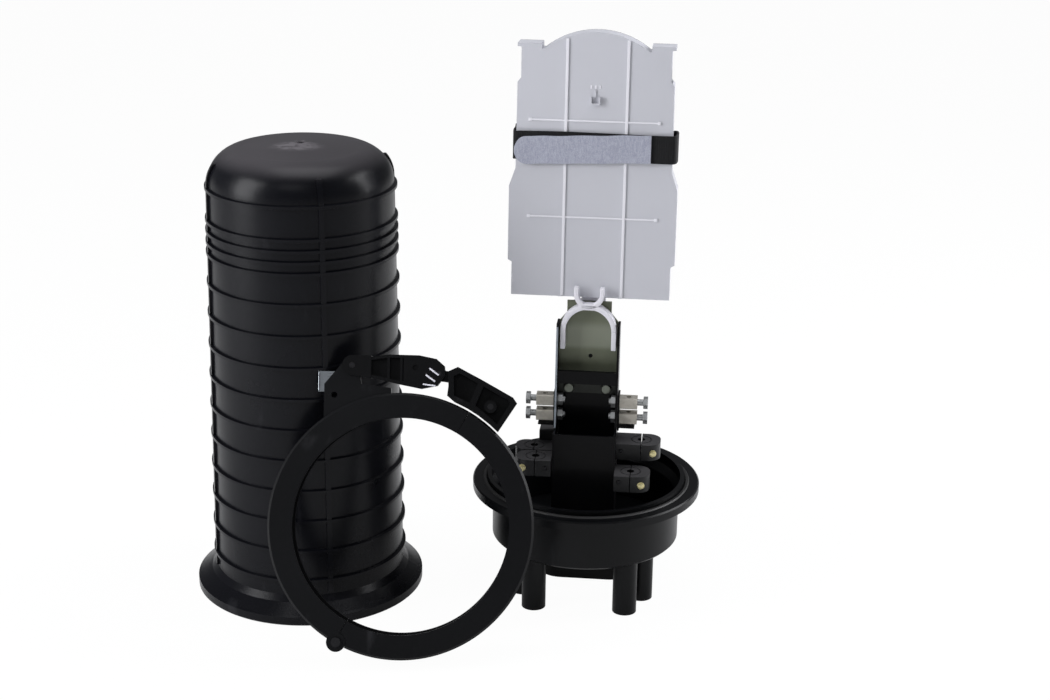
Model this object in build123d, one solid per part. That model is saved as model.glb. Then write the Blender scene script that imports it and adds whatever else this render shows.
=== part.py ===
from build123d import *
import os
from math import atan2, cos, degrees, pi, radians, sin

# Dome splice closure, shown taken apart: dome cover, clamp ring leaning on it, and base with its inner frame.
# Millimetres. X runs to the right, Y away from the viewer and Z up from the floor.

os.makedirs("parts", exist_ok=True)

# Places of the three groups on the floor
DOME_X, BASE_X, ROW_Y = -129.0, 129.0, 39.85
BASE_YAW = -5.5

# Clearances between pieces
FIT_GAP = 0.3
PIN_GAP = 0.06
SPLIT_GAP = 0.6

# Dome cover
DOME_HEIGHT, DOME_TAPER = 420.0, 0.0132
FLANGE_R, FLANGE_T, FLANGE_EDGE = 105.0, 9.6, 1.2
FLANGE_SLOPE_R, FLANGE_SLOPE_Z, FLANGE_FOOT_R, FLANGE_BLEND_Z = 103.0, 17.0, 92.0, 22.0
DOME_FOOT_R, DOME_WALL, DOME_SHOULDER_R, DOME_CROWN = 87.3, 3.3, 30.0, 4.5
DOME_SEAT_R, DOME_SEAT_DEPTH, DOME_SEAT_TOP = 92.4, 5.4, 9.5
RIB_PROUD, RIB_FOOT_W, RIB_TOP_W = 2.7, 4.2, 2.6
RIB_HIGH_Z = (382.1, 353.4, 343.4, 333.4, 323.4)
RIB_LOW_Z, RIB_PITCH, RIB_COUNT = 36.4, 28.8, 10
UPRIGHT_W, UPRIGHT_PROUD, UPRIGHT_TURN, UPRIGHT_COUNT = 4.6, 2.2, -72.0, 4
UPRIGHT_LOW_Z, UPRIGHT_HIGH_Z, UPRIGHT_IN_R = 24.0, 405.0, 50.0
GATE_R, GATE_PROUD = 4.0, 0.8

# Base housing
BODY_R, BODY_EDGE, BODY_LOW_Z, BOWL_R, BOWL_FLOOR_Z = 86.5, 2.0, 50.0, 83.0, 54.0
CONE_LOW_Z, CONE_HIGH_Z, CONE_R, RIM_R, RIM_EDGE = 89.0, 95.5, 100.0, 105.0, 1.2
RIM_LOW_Z, RIM_TOP_Z = 97.0, 105.0
LIP_OUT_R, LIP_IN_R, LIP_TOP_Z, LIP_FOOT_Z, BOWL_NECK_Z = 91.5, 87.5, 109.5, 100.0, 92.0
GROOVE_OUT_R, GROOVE_Z = 96.0, 101.5
SEAL_IN_R, SEAL_OUT_R, SEAL_TOP_Z, SEAL_EDGE = 91.7, 95.8, 106.0, 1.0
PORT_OUT_R, PORT_BORE_R = 11.0, 8.8
PORT_PLACES = ((-41.7, -61.1), (41.7, -61.1), (-55.0, -30.0), (55.0, -30.0))
OVAL_HALF_X, OVAL_HALF_Y, OVAL_Y, OVAL_WALL = 46.0, 24.0, 24.0, 2.6

# Inner frame of folded sheet
SHEET_T, FRAME_HALF_X = 2.0, 28.5
FRAME_FRONT_Y, FRAME_BACK_Y, FRAME_LOW_Z, FRAME_FRONT_TOP_Z = -44.0, -4.0, 54.0, 163.0
SIDE_STEP_Y, SIDE_TOP_Y, SIDE_TOP_Z = -30.0, -20.0, 260.0
FOOT_SCREW_Y, FOOT_SCREW_R, FOOT_HEAD_R, FOOT_HEAD_H = (-32.0, -16.0), 2.4, 4.4, 3.0
CROSSBAR_FRONT_Y, CROSSBAR_BACK_Y, CROSSBAR_LOW_Z, CROSSBAR_TOP_Z = -24.0, -20.5, 205.0, 217.0

# Tray support plate and its screws
PLATE_FRONT_Y, PLATE_BACK_Y, PLATE_LOW_Z, PLATE_TOP_Z = -8.0, -6.0, 191.0, 279.0
PLATE_NECK_HALF_X, PLATE_NECK_Z, PLATE_SHOULDER_Z = 20.0, 268.0, 260.0
PLATE_HOLE_X, PLATE_HOLE_Z, PLATE_HOLE_R = 2.0, 227.0, 2.0
PAN_X, PAN_Z, PAN_HEAD_R, PAN_HEAD_H, PAN_SHANK_R, PAN_BACK_Y = 17.0, 196.0, 4.6, 2.8, 2.0, -3.0
FLAP_FRONT_Y, FLAP_W = -6.0, 10.0

# White tray holder: arch, fork and the carrier behind the plate
ARCH_R, ARCH_LEG_T, ARCH_FRONT_Y, ARCH_LOW_Z, ARCH_TOP_Z = 25.3, 5.0, -18.0, 236.0, 278.5
ARCH_STEP_Z, ARCH_STEP_IN = 250.0, 1.6
FORK_OUT_R, FORK_IN_R, FORK_LOW_Z, FORK_TOP_Z, FORK_BACK_Y = 14.0, 10.2, 275.0, 296.0, -10.6
CARRIER_HALF_X, CARRIER_BACK_Y, CARRIER_LOW_Z, CARRIER_TOP_Z = 19.0, 13.0, 262.0, 277.5
ROD_Y, ROD_Z, ROD_R, ROD_HALF_X = 8.0, 271.0, 2.5, 33.0
CARRIER_CORNER = 4.5

# Splice trays and cover
TRAY_LEAN = 4.0
TRAY_LOW_Z, TRAY_FACE_Y, TRAY_PITCH, TRAY_DEPTH, TRAY_FLOOR_T, TRAY_WALL = 283.0, -9.0, 8.0, 7.6, 1.6, 1.5
TRAY_COUNT, COVER_T = 3, 1.6
TRAY_OUTLINE = ((71.0, 0.0), (71.0, 30.0), (74.5, 32.0), (74.5, 99.0), (69.0, 115.0), (68.5, 191.0))
TRAY_SHOULDER = ((65.5, 195.0), (65.5, 221.5))
TAB_OUT_X, TAB_IN_X, TAB_TOP_H, TAB_FOOT_H = 69.0, 48.0, 225.0, 221.0
TRAY_ARC_HALF, TRAY_ARC_FOOT, TRAY_APEX_H = 46.0, 220.0, 236.0
TRAY_INSET = 5.0
TRAY_RIB_X, TRAY_RIB_W, TRAY_RIB_PROUD = 27.0, 3.7, 0.9
TRAY_BAR_H, TRAY_BAR_HALF, TRAY_BAR_T, TRAY_DOT_R = (72.0, 158.0), 56.0, 1.0, 1.4
CATCH_H, CATCH_HALF_X, CATCH_TALL, CATCH_STEM, CATCH_PROUD, CATCH_BAR = 173.0, 4.5, 7.0, 6.0, 3.2, 1.4
EAR_X, EAR_T, EAR_R, BEAM_T, BEAM_FRONT_Y, BEAM_BACK_Y = 26.0, 4.0, 5.2, 2.2, 3.0, 24.0
COMB_H, COMB_X, COMB_TEETH, COMB_PITCH, COMB_TOOTH, COMB_LONG, COMB_TALL = 70.0, -18.0, 7, 6.0, 1.6, 34.0, 4.6
COVER_SLOT_HALF, COVER_SLOT_H, COVER_SLOT_TALL = 22.0, 60.0, 12.0

# Strap round the trays
STRAP_LOW_H, STRAP_HIGH_H, STRAP_T, STRAP_HALF_X, STRAP_CORNER = 114.0, 139.0, 1.4, 75.5, 3.0
STRAP_FRONT_AIR, STRAP_BACK_AIR = 0.15, 0.15
HOOK_T, HOOK_LEFT, HOOK_RIGHT, HOOK_LOW_H, HOOK_HIGH_H = 1.6, -75.0, 55.0, 113.0, 136.0

# Cable clamps: centre x, centre y, top z, half depth and end radius of each
CLAMP_TALL, CLAMP_SLIT, CLAMP_BORE_R, SCORE_R, SCORE_W, SCORE_DEPTH = 15.0, 0.8, 3.5, 9.3, 0.8, 0.7
CLAMPS = {
    "left_front": (-43.0, -48.0, 143.5, 12.2, 17.0),
    "left_rear": (-46.5, -22.0, 143.5, 12.2, 17.0),
    "right_front": (43.0, -46.0, 132.0, 14.0, 17.5),
    "right_rear": (51.0, -18.0, 152.0, 14.5, 17.5),
}
BOLTED = ("left_front", "right_front", "right_rear")
CLAMP_TONGUE_HALF_Y, CLAMP_TONGUE_FRONT_Y, CLAMP_CORNER = 8.0, -43.0, 3.0
CLAMP_BOLT_R, CLAMP_BOLT_HEAD_R, CLAMP_BOLT_HEAD_H, CLAMP_BOLT_LONG, CLAMP_BOLT_IN = 2.2, 3.8, 3.0, 20.0, 4.4
PAD_SCREW_R, PAD_SCREW_HEAD_R, PAD_SCREW_HEAD_H, PAD_SCREW_LONG = 1.6, 3.0, 1.8, 9.0

# Strength-member clamps
BLOCK_IN_X, BLOCK_OUT_X, BLOCK_Y, BLOCK_HALF_Y, BLOCK_TALL = 30.0, 46.0, -12.0, 6.0, 10.0
BLOCK_Z = (166.0, 180.6)
BLOCK_HOLE_X, BLOCK_HOLE_R, BLOCK_EDGE = 38.0, 2.5, 0.8
HEX_FLATS, HEX_H, HEX_SHANK_R, HEX_HEAD_X, HEX_END_X, NUT_IN_X = 10.0, 4.0, 2.9, 51.5, 20.0, 22.0
ANGLE_BACK_Y, ANGLE_FRONT_Y, ANGLE_LOW_Z, ANGLE_TOP_Z = -4.5, -19.5, 160.0, 194.0
SHELF_OUT_X, SHELF_LOW_Z, SHELF_TOP_Z = 44.0, 162.5, 164.0

# Clamp ring, in its own plane: x right, y up the ring, z towards the viewer
RING_X, RING_LEAN, RING_OUT_R, RING_IN_R, RING_T = -34.5, 22.0, 115.0, 93.5, 26.0
RING_FRONT_Y = -(ROW_Y + FLANGE_R)
RING_EDGE, V_MOUTH_HALF, V_FLOOR_HALF, V_FLOOR_R = 2.0, 10.4, 9.5, 107.5
SPLIT_LATCH_DEG, SPLIT_HINGE_DEG = 59.7, 241.1
PIN_X, PIN_Y, PIN_R, KNUCKLE_R = -54.1, -99.9, 2.5, 8.3
KNUCKLE_HALF, KNUCKLE_MID_HALF, PIN_HALF, PIN_HEAD_R, PIN_HEAD_H = 13.0, 4.5, 13.0, 4.2, 1.6
KNUCKLE_ROOT_R, KNUCKLE_ROOT_DEG = 104.0, 9.0
PAN_RECESS = 0.4

# Latch, in the same plane
BRACKET_Z, BRACKET_TOP_Z = 2.4, 10.0
BRACKET_OUTLINE = (
    (-68.0, 88.0), (-68.0, 122.0), (-49.0, 145.0), (-44.1, 147.0), (-38.5, 144.5), (-36.5, 138.5),
    (-37.0, 130.0), (-36.0, 122.5), (-10.0, 119.0), (-10.0, 112.0), (-34.0, 106.0), (-46.0, 101.0),
)
BRACKET_HOLE_X, BRACKET_HOLE_Y, BRACKET_HOLE_R = -59.2, 112.6, 2.6
ARM_X, ARM_Y, ARM_EYE_R, ARM_PIN_R = -44.1, 138.5, 8.6, 2.4
ARM_Z, ARM_TOP_Z, ARM_FORK_Z, ARM_FORK_TOP_Z = 0.0, 12.0, 0.0, 12.4
ARM_OUTLINE = (
    (-30.0, 145.5), (-12.0, 148.0), (14.0, 147.6), (29.0, 144.6), (36.0, 138.5), (36.4, 130.0), (30.0, 121.5),
    (16.0, 118.6), (-4.0, 122.5), (-30.0, 128.5),
)
ARM_WALL, ARM_POCKET, ARM_RIB_X, ARM_RIB_W = 2.6, 5.0, (-12.5, -1.4), 2.2
ARM_PANEL_X, ARM_PANEL_END_X, DIMPLE_X, DIMPLE_Y, DIMPLE_R, DIMPLE_DEEP = 1.6, 17.0, 10.7, 137.0, 2.6, 1.2
LEVER_X, LEVER_Y, LEVER_PIN_R, LEVER_EYE_R, LEVER_MID_HALF = 31.0, 132.0, 2.2, 6.4, 2.6
LEVER_OUTLINE = (
    (39.5, 121.5), (39.0, 134.0), (47.5, 138.0), (70.0, 126.2), (95.6, 112.0), (99.0, 107.0), (82.6, 82.0),
    (75.4, 88.6), (66.0, 95.9), (56.0, 102.1), (45.0, 107.4), (38.5, 113.0),
)
LEVER_POCKETS = (
    ((44.5, 113.0), (44.0, 130.0), (49.0, 132.5), (65.0, 124.0), (58.0, 107.0)),
    ((63.0, 104.8), (69.8, 121.4), (91.0, 110.2), (93.0, 106.8), (81.8, 88.6), (75.0, 95.0)),
)
LEVER_POCKET_DEEP, LEVER_LOW_Z, LEVER_TOP_Z = 7.0, 0.0, 13.0
BOSS_X, BOSS_Y, BOSS_R, BOSS_SCREW_R = 76.0, 104.0, 5.4, 2.6
CATCH_PLATE = ((-73.0, 113.0), (-73.0, 129.6), (-47.0, 129.0), (-41.0, 126.0), (-41.0, 120.0), (-52.0, 113.0))
CATCH_PLATE_T, CATCH_RIVETS, CATCH_RIVET_R, CATCH_RIVET_H = 1.0, ((-62.0, 117.4), (-52.0, 122.0)), 2.0, 0.9


def block(x0, x1, y0, y1, z0, z1):
    """A block between two opposite corners."""
    return Pos(x0, y0, z0) * Box(x1 - x0, y1 - y0, z1 - z0, align=(Align.MIN, Align.MIN, Align.MIN))


def round_bar(radius, z0, z1, x=0, y=0):
    """An upright round bar from one height to another."""
    return Pos(x, y, z0) * Cylinder(radius, z1 - z0, align=(Align.CENTER, Align.CENTER, Align.MIN))


def bar_x(radius, x0, x1, y, z):
    """A round bar along X."""
    return Pos(x0, y, z) * Rot(0, QUARTER, 0) * round_bar(radius, 0, x1 - x0)


def bar_y(radius, y0, y1, x, z):
    """A round bar along Y."""
    return Pos(x, y0, z) * Rot(-QUARTER, 0, 0) * round_bar(radius, 0, y1 - y0)


def turned(points):
    """A body of revolution about Z from (radius, height) points."""
    return revolve(Plane.XZ * make_face(Polyline(*points, close=True)), Axis.Z)


def slab(points, z0, z1):
    """An upright prism over an outline."""
    return Pos(0, 0, z0) * extrude(make_face(Polyline(*points, close=True)), z1 - z0, dir=(0, 0, 1))


def mirrored(shape):
    """The same shape on the other side of X = 0."""
    return mirror(shape, about=Plane.YZ)


def union(first, others):
    """One body fused from several."""
    for other in others:
        first = first + other
    return first


def hexagon(flats, x0, x1, y, z):
    """A hexagonal bar along X, by its width over flats."""
    prism = extrude(RegularPolygon(flats * HALF, HEX_SIDES, major_radius=False), x1 - x0)
    return Pos(x0, y, z) * Rot(QUARTER / (HEX_SIDES * HALF), 0, 0) * Rot(0, QUARTER, 0) * prism


QUARTER, HALF, HEX_SIDES, FULL_TURN = 90.0, 0.5, 6, 360.0
SMALL_OVERRUN = 1.0
DOME_PLACE = Pos(DOME_X, ROW_Y, 0)
BASE_PLACE = Pos(BASE_X, ROW_Y, 0) * Rot(0, 0, BASE_YAW)
LEAN_COS, LEAN_SIN = cos(radians(RING_LEAN)), sin(radians(RING_LEAN))
RING_HALF_T = RING_T * HALF
RING_Y = RING_FRONT_Y + RING_OUT_R * LEAN_SIN + RING_HALF_T * LEAN_COS
RING_Z = RING_OUT_R * LEAN_COS + RING_HALF_T * LEAN_SIN
RING_PLACE = Plane(origin=(RING_X, RING_Y, RING_Z), x_dir=(1, 0, 0), z_dir=(0, -LEAN_COS, LEAN_SIN)).location
TRAY_PLACE = Pos(0, TRAY_FACE_Y, TRAY_LOW_Z) * Rot(-TRAY_LEAN, 0, 0)


# ---- dome cover

def dome_radius(z):
    """Outer radius of the dome's straight wall at a height."""
    return DOME_FOOT_R - DOME_TAPER * z


def dome_skin(offset, low_z):
    """Face of the dome's upper outline moved outwards by an offset, from a height to the crown."""
    top = DOME_HEIGHT - DOME_CROWN
    bend_z = top - DOME_SHOULDER_R
    side = dome_radius(bend_z)
    bend_x = side - DOME_SHOULDER_R
    swing = (DOME_SHOULDER_R + offset) * cos(pi * HALF * HALF)
    wall = Line((dome_radius(low_z) + offset, low_z), (side + offset, bend_z))
    bend = ThreePointArc((side + offset, bend_z), (bend_x + swing, bend_z + swing), (bend_x, top + offset))
    crown = Line((bend_x, top + offset), (0, DOME_HEIGHT + offset))
    ends = Polyline((0, DOME_HEIGHT + offset), (0, low_z), (dome_radius(low_z) + offset, low_z))
    return Plane.XZ * make_face([wall, bend, crown, *ends.edges()])


def dome_ring_rib(z):
    """One flat-topped ring rib on the dome's wall."""
    foot, top, r = RIB_FOOT_W * HALF, RIB_TOP_W * HALF, dome_radius(z)
    return turned((
        (r - DOME_WALL * HALF, z - foot), (r, z - foot), (r + RIB_PROUD, z - top),
        (r + RIB_PROUD, z + top), (r, z + foot), (r - DOME_WALL * HALF, z + foot),
    ))


def dome_cover():
    """The moulded cover with its flange, ring ribs and four upright ribs."""
    outer = revolve(dome_skin(0, 0), Axis.Z)
    outer += turned((
        (0, 0), (FLANGE_R - FLANGE_EDGE, 0), (FLANGE_R, FLANGE_EDGE), (FLANGE_R, FLANGE_T - FLANGE_EDGE),
        (FLANGE_SLOPE_R, FLANGE_T), (FLANGE_FOOT_R, FLANGE_SLOPE_Z), (dome_radius(FLANGE_BLEND_Z), FLANGE_BLEND_Z),
        (0, FLANGE_BLEND_Z),
    ))
    low = [RIB_LOW_Z + RIB_PITCH * i for i in range(RIB_COUNT)]
    outer = union(outer, [dome_ring_rib(z) for z in (*low, *RIB_HIGH_Z)])
    envelope = revolve(dome_skin(UPRIGHT_PROUD, UPRIGHT_LOW_Z), Axis.Z)
    rib = block(UPRIGHT_IN_R, FLANGE_R, -UPRIGHT_W * HALF, UPRIGHT_W * HALF, UPRIGHT_LOW_Z, UPRIGHT_HIGH_Z)
    for i in range(UPRIGHT_COUNT):
        outer += envelope & (Rot(0, 0, UPRIGHT_TURN + FULL_TURN * i / UPRIGHT_COUNT) * rib)
    outer += round_bar(GATE_R, DOME_HEIGHT - DOME_CROWN, DOME_HEIGHT + GATE_PROUD)
    inner = revolve(dome_skin(-DOME_WALL, 0), Axis.Z)
    seat = turned((
        (0, 0), (DOME_SEAT_R, 0), (DOME_SEAT_R, DOME_SEAT_DEPTH),
        (dome_radius(DOME_SEAT_TOP) - DOME_WALL, DOME_SEAT_TOP), (0, DOME_SEAT_TOP),
    ))
    return DOME_PLACE * (outer - inner - seat)


# ---- base housing

def stadium(half_x, half_y, z0, z1):
    """An upright stadium-shaped bar about the oval port's centre."""
    straight = half_x - half_y
    body = block(-straight, straight, OVAL_Y - half_y, OVAL_Y + half_y, z0, z1)
    return union(body, [round_bar(half_y, z0, z1, side * straight, OVAL_Y) for side in (-1, 1)])


def base_housing():
    """The moulded base: rim, lip, bowl, four round ports and the oval port."""
    body = turned((
        (0, BODY_LOW_Z), (BODY_R - BODY_EDGE, BODY_LOW_Z), (BODY_R, BODY_LOW_Z + BODY_EDGE), (BODY_R, CONE_LOW_Z),
        (CONE_R, CONE_HIGH_Z), (RIM_R, RIM_LOW_Z), (RIM_R, RIM_TOP_Z - RIM_EDGE), (RIM_R - RIM_EDGE, RIM_TOP_Z),
        (GROOVE_OUT_R, RIM_TOP_Z), (GROOVE_OUT_R, GROOVE_Z), (LIP_OUT_R, GROOVE_Z), (LIP_OUT_R, LIP_TOP_Z),
        (LIP_IN_R, LIP_TOP_Z), (LIP_IN_R, LIP_FOOT_Z), (BOWL_R, BOWL_NECK_Z), (BOWL_R, BOWL_FLOOR_Z),
        (0, BOWL_FLOOR_Z),
    ))
    over = BOWL_FLOOR_Z + SMALL_OVERRUN
    body = union(body, [round_bar(PORT_OUT_R, 0, BOWL_FLOOR_Z, x, y) for x, y in PORT_PLACES])
    body += stadium(OVAL_HALF_X, OVAL_HALF_Y, 0, BOWL_FLOOR_Z)
    for x, y in PORT_PLACES:
        body -= round_bar(PORT_BORE_R, 0, over, x, y)
    body -= stadium(OVAL_HALF_X - OVAL_WALL, OVAL_HALF_Y - OVAL_WALL, 0, over)
    for y in FOOT_SCREW_Y:
        body -= round_bar(FOOT_SCREW_R, BODY_LOW_Z, over, 0, y)
    return BASE_PLACE * body


def sealing_ring():
    """The rubber ring lying in the rim's groove."""
    return BASE_PLACE * turned((
        (SEAL_IN_R, GROOVE_Z), (SEAL_OUT_R, GROOVE_Z), (SEAL_OUT_R, SEAL_TOP_Z - SEAL_EDGE),
        (SEAL_OUT_R - SEAL_EDGE, SEAL_TOP_Z), (SEAL_IN_R + SEAL_EDGE, SEAL_TOP_Z),
        (SEAL_IN_R, SEAL_TOP_Z - SEAL_EDGE),
    ))


# ---- inner frame

def side_sheet():
    """Right side sheet of the frame, with its sloping front edge."""
    outline = (
        (FRAME_FRONT_Y, FRAME_LOW_Z), (FRAME_BACK_Y, FRAME_LOW_Z), (FRAME_BACK_Y, SIDE_TOP_Z),
        (SIDE_TOP_Y, SIDE_TOP_Z), (SIDE_STEP_Y, FRAME_FRONT_TOP_Z), (FRAME_FRONT_Y, FRAME_FRONT_TOP_Z),
    )
    face = Plane.YZ * make_face(Polyline(*outline, close=True))
    sheet = Pos(FRAME_HALF_X - SHEET_T, 0, 0) * extrude(face, SHEET_T, dir=(1, 0, 0))
    for z in BLOCK_Z:
        middle = z + BLOCK_TALL * HALF
        sheet -= bar_x(HEX_SHANK_R, FRAME_HALF_X - SHEET_T, FRAME_HALF_X, BLOCK_Y, middle)
    return sheet


def inner_frame():
    """The folded black sheet that carries everything inside the dome."""
    right = side_sheet()
    inside = FRAME_HALF_X - SHEET_T
    front = block(
        -inside, inside, FRAME_FRONT_Y, FRAME_FRONT_Y + SHEET_T, FRAME_LOW_Z, FRAME_FRONT_TOP_Z
    )
    foot = block(-inside, inside, FRAME_FRONT_Y, FRAME_BACK_Y, FRAME_LOW_Z, FRAME_LOW_Z + SHEET_T)
    for y in FOOT_SCREW_Y:
        foot -= round_bar(FOOT_SCREW_R, FRAME_LOW_Z, FRAME_LOW_Z + SHEET_T, 0, y)
    return BASE_PLACE * (right + mirrored(right) + front + foot)


def foot_screws():
    """Two screws from the frame's foot into the bowl's floor."""
    top = FRAME_LOW_Z + SHEET_T
    screws = [
        round_bar(FOOT_HEAD_R, top, top + FOOT_HEAD_H, 0, y) + round_bar(FOOT_SCREW_R, BODY_LOW_Z, top, 0, y)
        for y in FOOT_SCREW_Y
    ]
    return BASE_PLACE * Compound(children=screws)


def crossbar():
    """The black bar between the side sheets."""
    inside = FRAME_HALF_X - SHEET_T
    return BASE_PLACE * block(
        -inside, inside, CROSSBAR_FRONT_Y, CROSSBAR_BACK_Y, CROSSBAR_LOW_Z, CROSSBAR_TOP_Z
    )


def support_plate():
    """The metal plate behind the arch, narrowed at the top."""
    inside = FRAME_HALF_X - SHEET_T
    outline = (
        (-inside, PLATE_LOW_Z), (inside, PLATE_LOW_Z), (inside, PLATE_SHOULDER_Z), (PLATE_NECK_HALF_X, PLATE_NECK_Z),
        (PLATE_NECK_HALF_X, PLATE_TOP_Z), (-PLATE_NECK_HALF_X, PLATE_TOP_Z), (-PLATE_NECK_HALF_X, PLATE_NECK_Z),
        (-inside, PLATE_SHOULDER_Z),
    )
    face = Plane.XZ * make_face(Polyline(*outline, close=True))
    plate = Pos(0, PLATE_FRONT_Y, 0) * extrude(face, PLATE_BACK_Y - PLATE_FRONT_Y, dir=(0, 1, 0))
    plate -= bar_y(PLATE_HOLE_R, PLATE_FRONT_Y, PLATE_BACK_Y, PLATE_HOLE_X, PLATE_HOLE_Z)
    for side in (-1, 1):
        plate -= bar_y(PAN_SHANK_R, PLATE_FRONT_Y, PLATE_BACK_Y, side * PAN_X, PAN_Z)
    return BASE_PLACE * plate


def pan_screws():
    """Two pan-head screws in the foot of the support plate."""
    front = PLATE_FRONT_Y - PAN_HEAD_H
    screws = []
    for side in (-1, 1):
        head = bar_y(PAN_HEAD_R, front, PLATE_FRONT_Y, side * PAN_X, PAN_Z)
        head = chamfer(head.edges().group_by(Axis.Y)[0], PAN_HEAD_H * HALF * HALF)
        screws.append(head + bar_y(PAN_SHANK_R, PLATE_FRONT_Y, PAN_BACK_Y, side * PAN_X, PAN_Z))
    return BASE_PLACE * Compound(children=screws)


def tray_holder():
    """The white holder: an arch on the plate, a fork above it and a carrier behind."""
    centre_z = ARCH_TOP_Z - ARCH_R
    arch = bar_y(ARCH_R, ARCH_FRONT_Y, PLATE_FRONT_Y, 0, centre_z)
    arch += block(-ARCH_R, ARCH_R, ARCH_FRONT_Y, PLATE_FRONT_Y, ARCH_LOW_Z, centre_z)
    inner = ARCH_R - ARCH_LEG_T
    arch -= bar_y(inner, ARCH_FRONT_Y, PLATE_FRONT_Y, 0, centre_z)
    arch -= block(-inner, inner, ARCH_FRONT_Y, PLATE_FRONT_Y, ARCH_STEP_Z, centre_z)
    step = inner + ARCH_STEP_IN
    arch -= block(-step, step, ARCH_FRONT_Y, PLATE_FRONT_Y, ARCH_LOW_Z, ARCH_STEP_Z)
    arch -= block(-ARCH_R, ARCH_R, ARCH_FRONT_Y, PLATE_FRONT_Y, centre_z - ARCH_R, ARCH_LOW_Z)
    low = ARCH_TOP_Z - ARCH_LEG_T * HALF
    fork = block(-FORK_OUT_R, FORK_OUT_R, ARCH_FRONT_Y, FORK_BACK_Y, low, FORK_TOP_Z)
    fork -= bar_y(FORK_IN_R, ARCH_FRONT_Y, FORK_BACK_Y, 0, FORK_TOP_Z)
    return BASE_PLACE * (arch + fork)


def tray_carrier():
    """The moulding on the plate's back that holds the tray rod."""
    body = block(
        -CARRIER_HALF_X, CARRIER_HALF_X, PLATE_BACK_Y, CARRIER_BACK_Y, CARRIER_LOW_Z, CARRIER_TOP_Z
    )
    body = chamfer(body.edges().filter_by(Axis.X).sort_by(Axis.Y)[-2:], CARRIER_CORNER)
    return BASE_PLACE * (body - bar_x(ROD_R, -CARRIER_HALF_X, CARRIER_HALF_X, ROD_Y, ROD_Z))


def tray_rod():
    """The rod that the tray stack turns on."""
    return BASE_PLACE * bar_x(ROD_R, -ROD_HALF_X, ROD_HALF_X, ROD_Y, ROD_Z)


# ---- trays

def tray_half_outline(shrink):
    """Right half of the tray's outline from the bottom to the arc's foot, moved inwards by a margin."""
    sides = [(x - shrink, max(h, shrink)) for x, h in TRAY_OUTLINE]
    if shrink:
        return [*sides, (TRAY_SHOULDER[0][0] - shrink, TRAY_ARC_FOOT - shrink)]
    return [
        *sides, *TRAY_SHOULDER, (TAB_OUT_X, TAB_FOOT_H + SMALL_OVERRUN), (TAB_OUT_X, TAB_TOP_H),
        (TAB_IN_X, TAB_TOP_H), (TAB_IN_X, TRAY_ARC_FOOT),
    ]


def tray_face(shrink):
    """The tray's outline as a face in the XZ plane, closed by the arc at the top."""
    right = tray_half_outline(shrink)
    foot, half_arc = TRAY_ARC_FOOT - shrink, TRAY_ARC_HALF - shrink
    left = [(-x, h) for x, h in reversed(right)]
    line = Polyline((-half_arc, foot), *left, *right, (half_arc, foot))
    arc = ThreePointArc((half_arc, foot), (0, TRAY_APEX_H - shrink), (-half_arc, foot))
    return Plane.XZ * make_face([*line.edges(), arc])


def plate_of(face, front_y, back_y):
    """The tray outline given a thickness between two depths."""
    return Pos(0, front_y, 0) * extrude(face, back_y - front_y, dir=(0, 1, 0))


def tray_shell(front_y):
    """One tray: a floor towards the viewer and a wall round it."""
    body = plate_of(tray_face(0), front_y, front_y + TRAY_DEPTH)
    return body - plate_of(tray_face(TRAY_WALL), front_y + TRAY_FLOOR_T, front_y + TRAY_DEPTH)


def splice_comb(front_y):
    """A row of teeth that holds the splices, standing on a tray's floor."""
    low = front_y + TRAY_FLOOR_T
    teeth = []
    for i in range(COMB_TEETH):
        x = COMB_X + COMB_PITCH * i
        teeth.append(block(x, x + COMB_TOOTH, low, low + COMB_TALL, COMB_H, COMB_H + COMB_LONG))
    return teeth


def front_tray():
    """The tray that shows its ribbed back, with the two ears that turn on the rod."""
    body = union(tray_shell(0), splice_comb(0))
    for side in (-1, 1):
        x = side * TRAY_RIB_X - TRAY_RIB_W * HALF
        body += block(x, x + TRAY_RIB_W, -TRAY_RIB_PROUD, 0, 0, TRAY_ARC_FOOT)
    for h in TRAY_BAR_H:
        body += block(-TRAY_BAR_HALF, TRAY_BAR_HALF, -TRAY_RIB_PROUD, 0, h, h + TRAY_BAR_T)
        for side in (-1, 1):
            body += bar_y(TRAY_DOT_R, -TRAY_RIB_PROUD, 0, side * TRAY_BAR_HALF, h + TRAY_BAR_T * HALF)
    body += tray_catch()
    return BASE_PLACE * (TRAY_PLACE * body)


def tray_catch():
    """The small catch frame moulded on the tray's back."""
    top = CATCH_H + CATCH_TALL
    frame = block(-CATCH_HALF_X, CATCH_HALF_X, -CATCH_PROUD, 0, CATCH_H, top)
    inside = CATCH_HALF_X - CATCH_BAR
    frame -= block(-inside, inside, -CATCH_PROUD, 0, CATCH_H + CATCH_BAR, top)
    stem = CATCH_BAR * HALF
    return frame + block(-stem, stem, -TRAY_RIB_PROUD, 0, top, top + CATCH_STEM)


def tray_behind(index):
    """One of the trays behind the front one."""
    front_y = TRAY_PITCH * index
    return BASE_PLACE * (TRAY_PLACE * union(tray_shell(front_y), splice_comb(front_y)))


def tray_cover():
    """The clear lid on the last tray, with its finger slot."""
    front_y = TRAY_PITCH * TRAY_COUNT
    lid = plate_of(tray_face(0), front_y, front_y + COVER_T)
    lid -= block(
        -COVER_SLOT_HALF, COVER_SLOT_HALF, front_y, front_y + COVER_T, COVER_SLOT_H, COVER_SLOT_H + COVER_SLOT_TALL
    )
    return BASE_PLACE * (TRAY_PLACE * lid)


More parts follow.
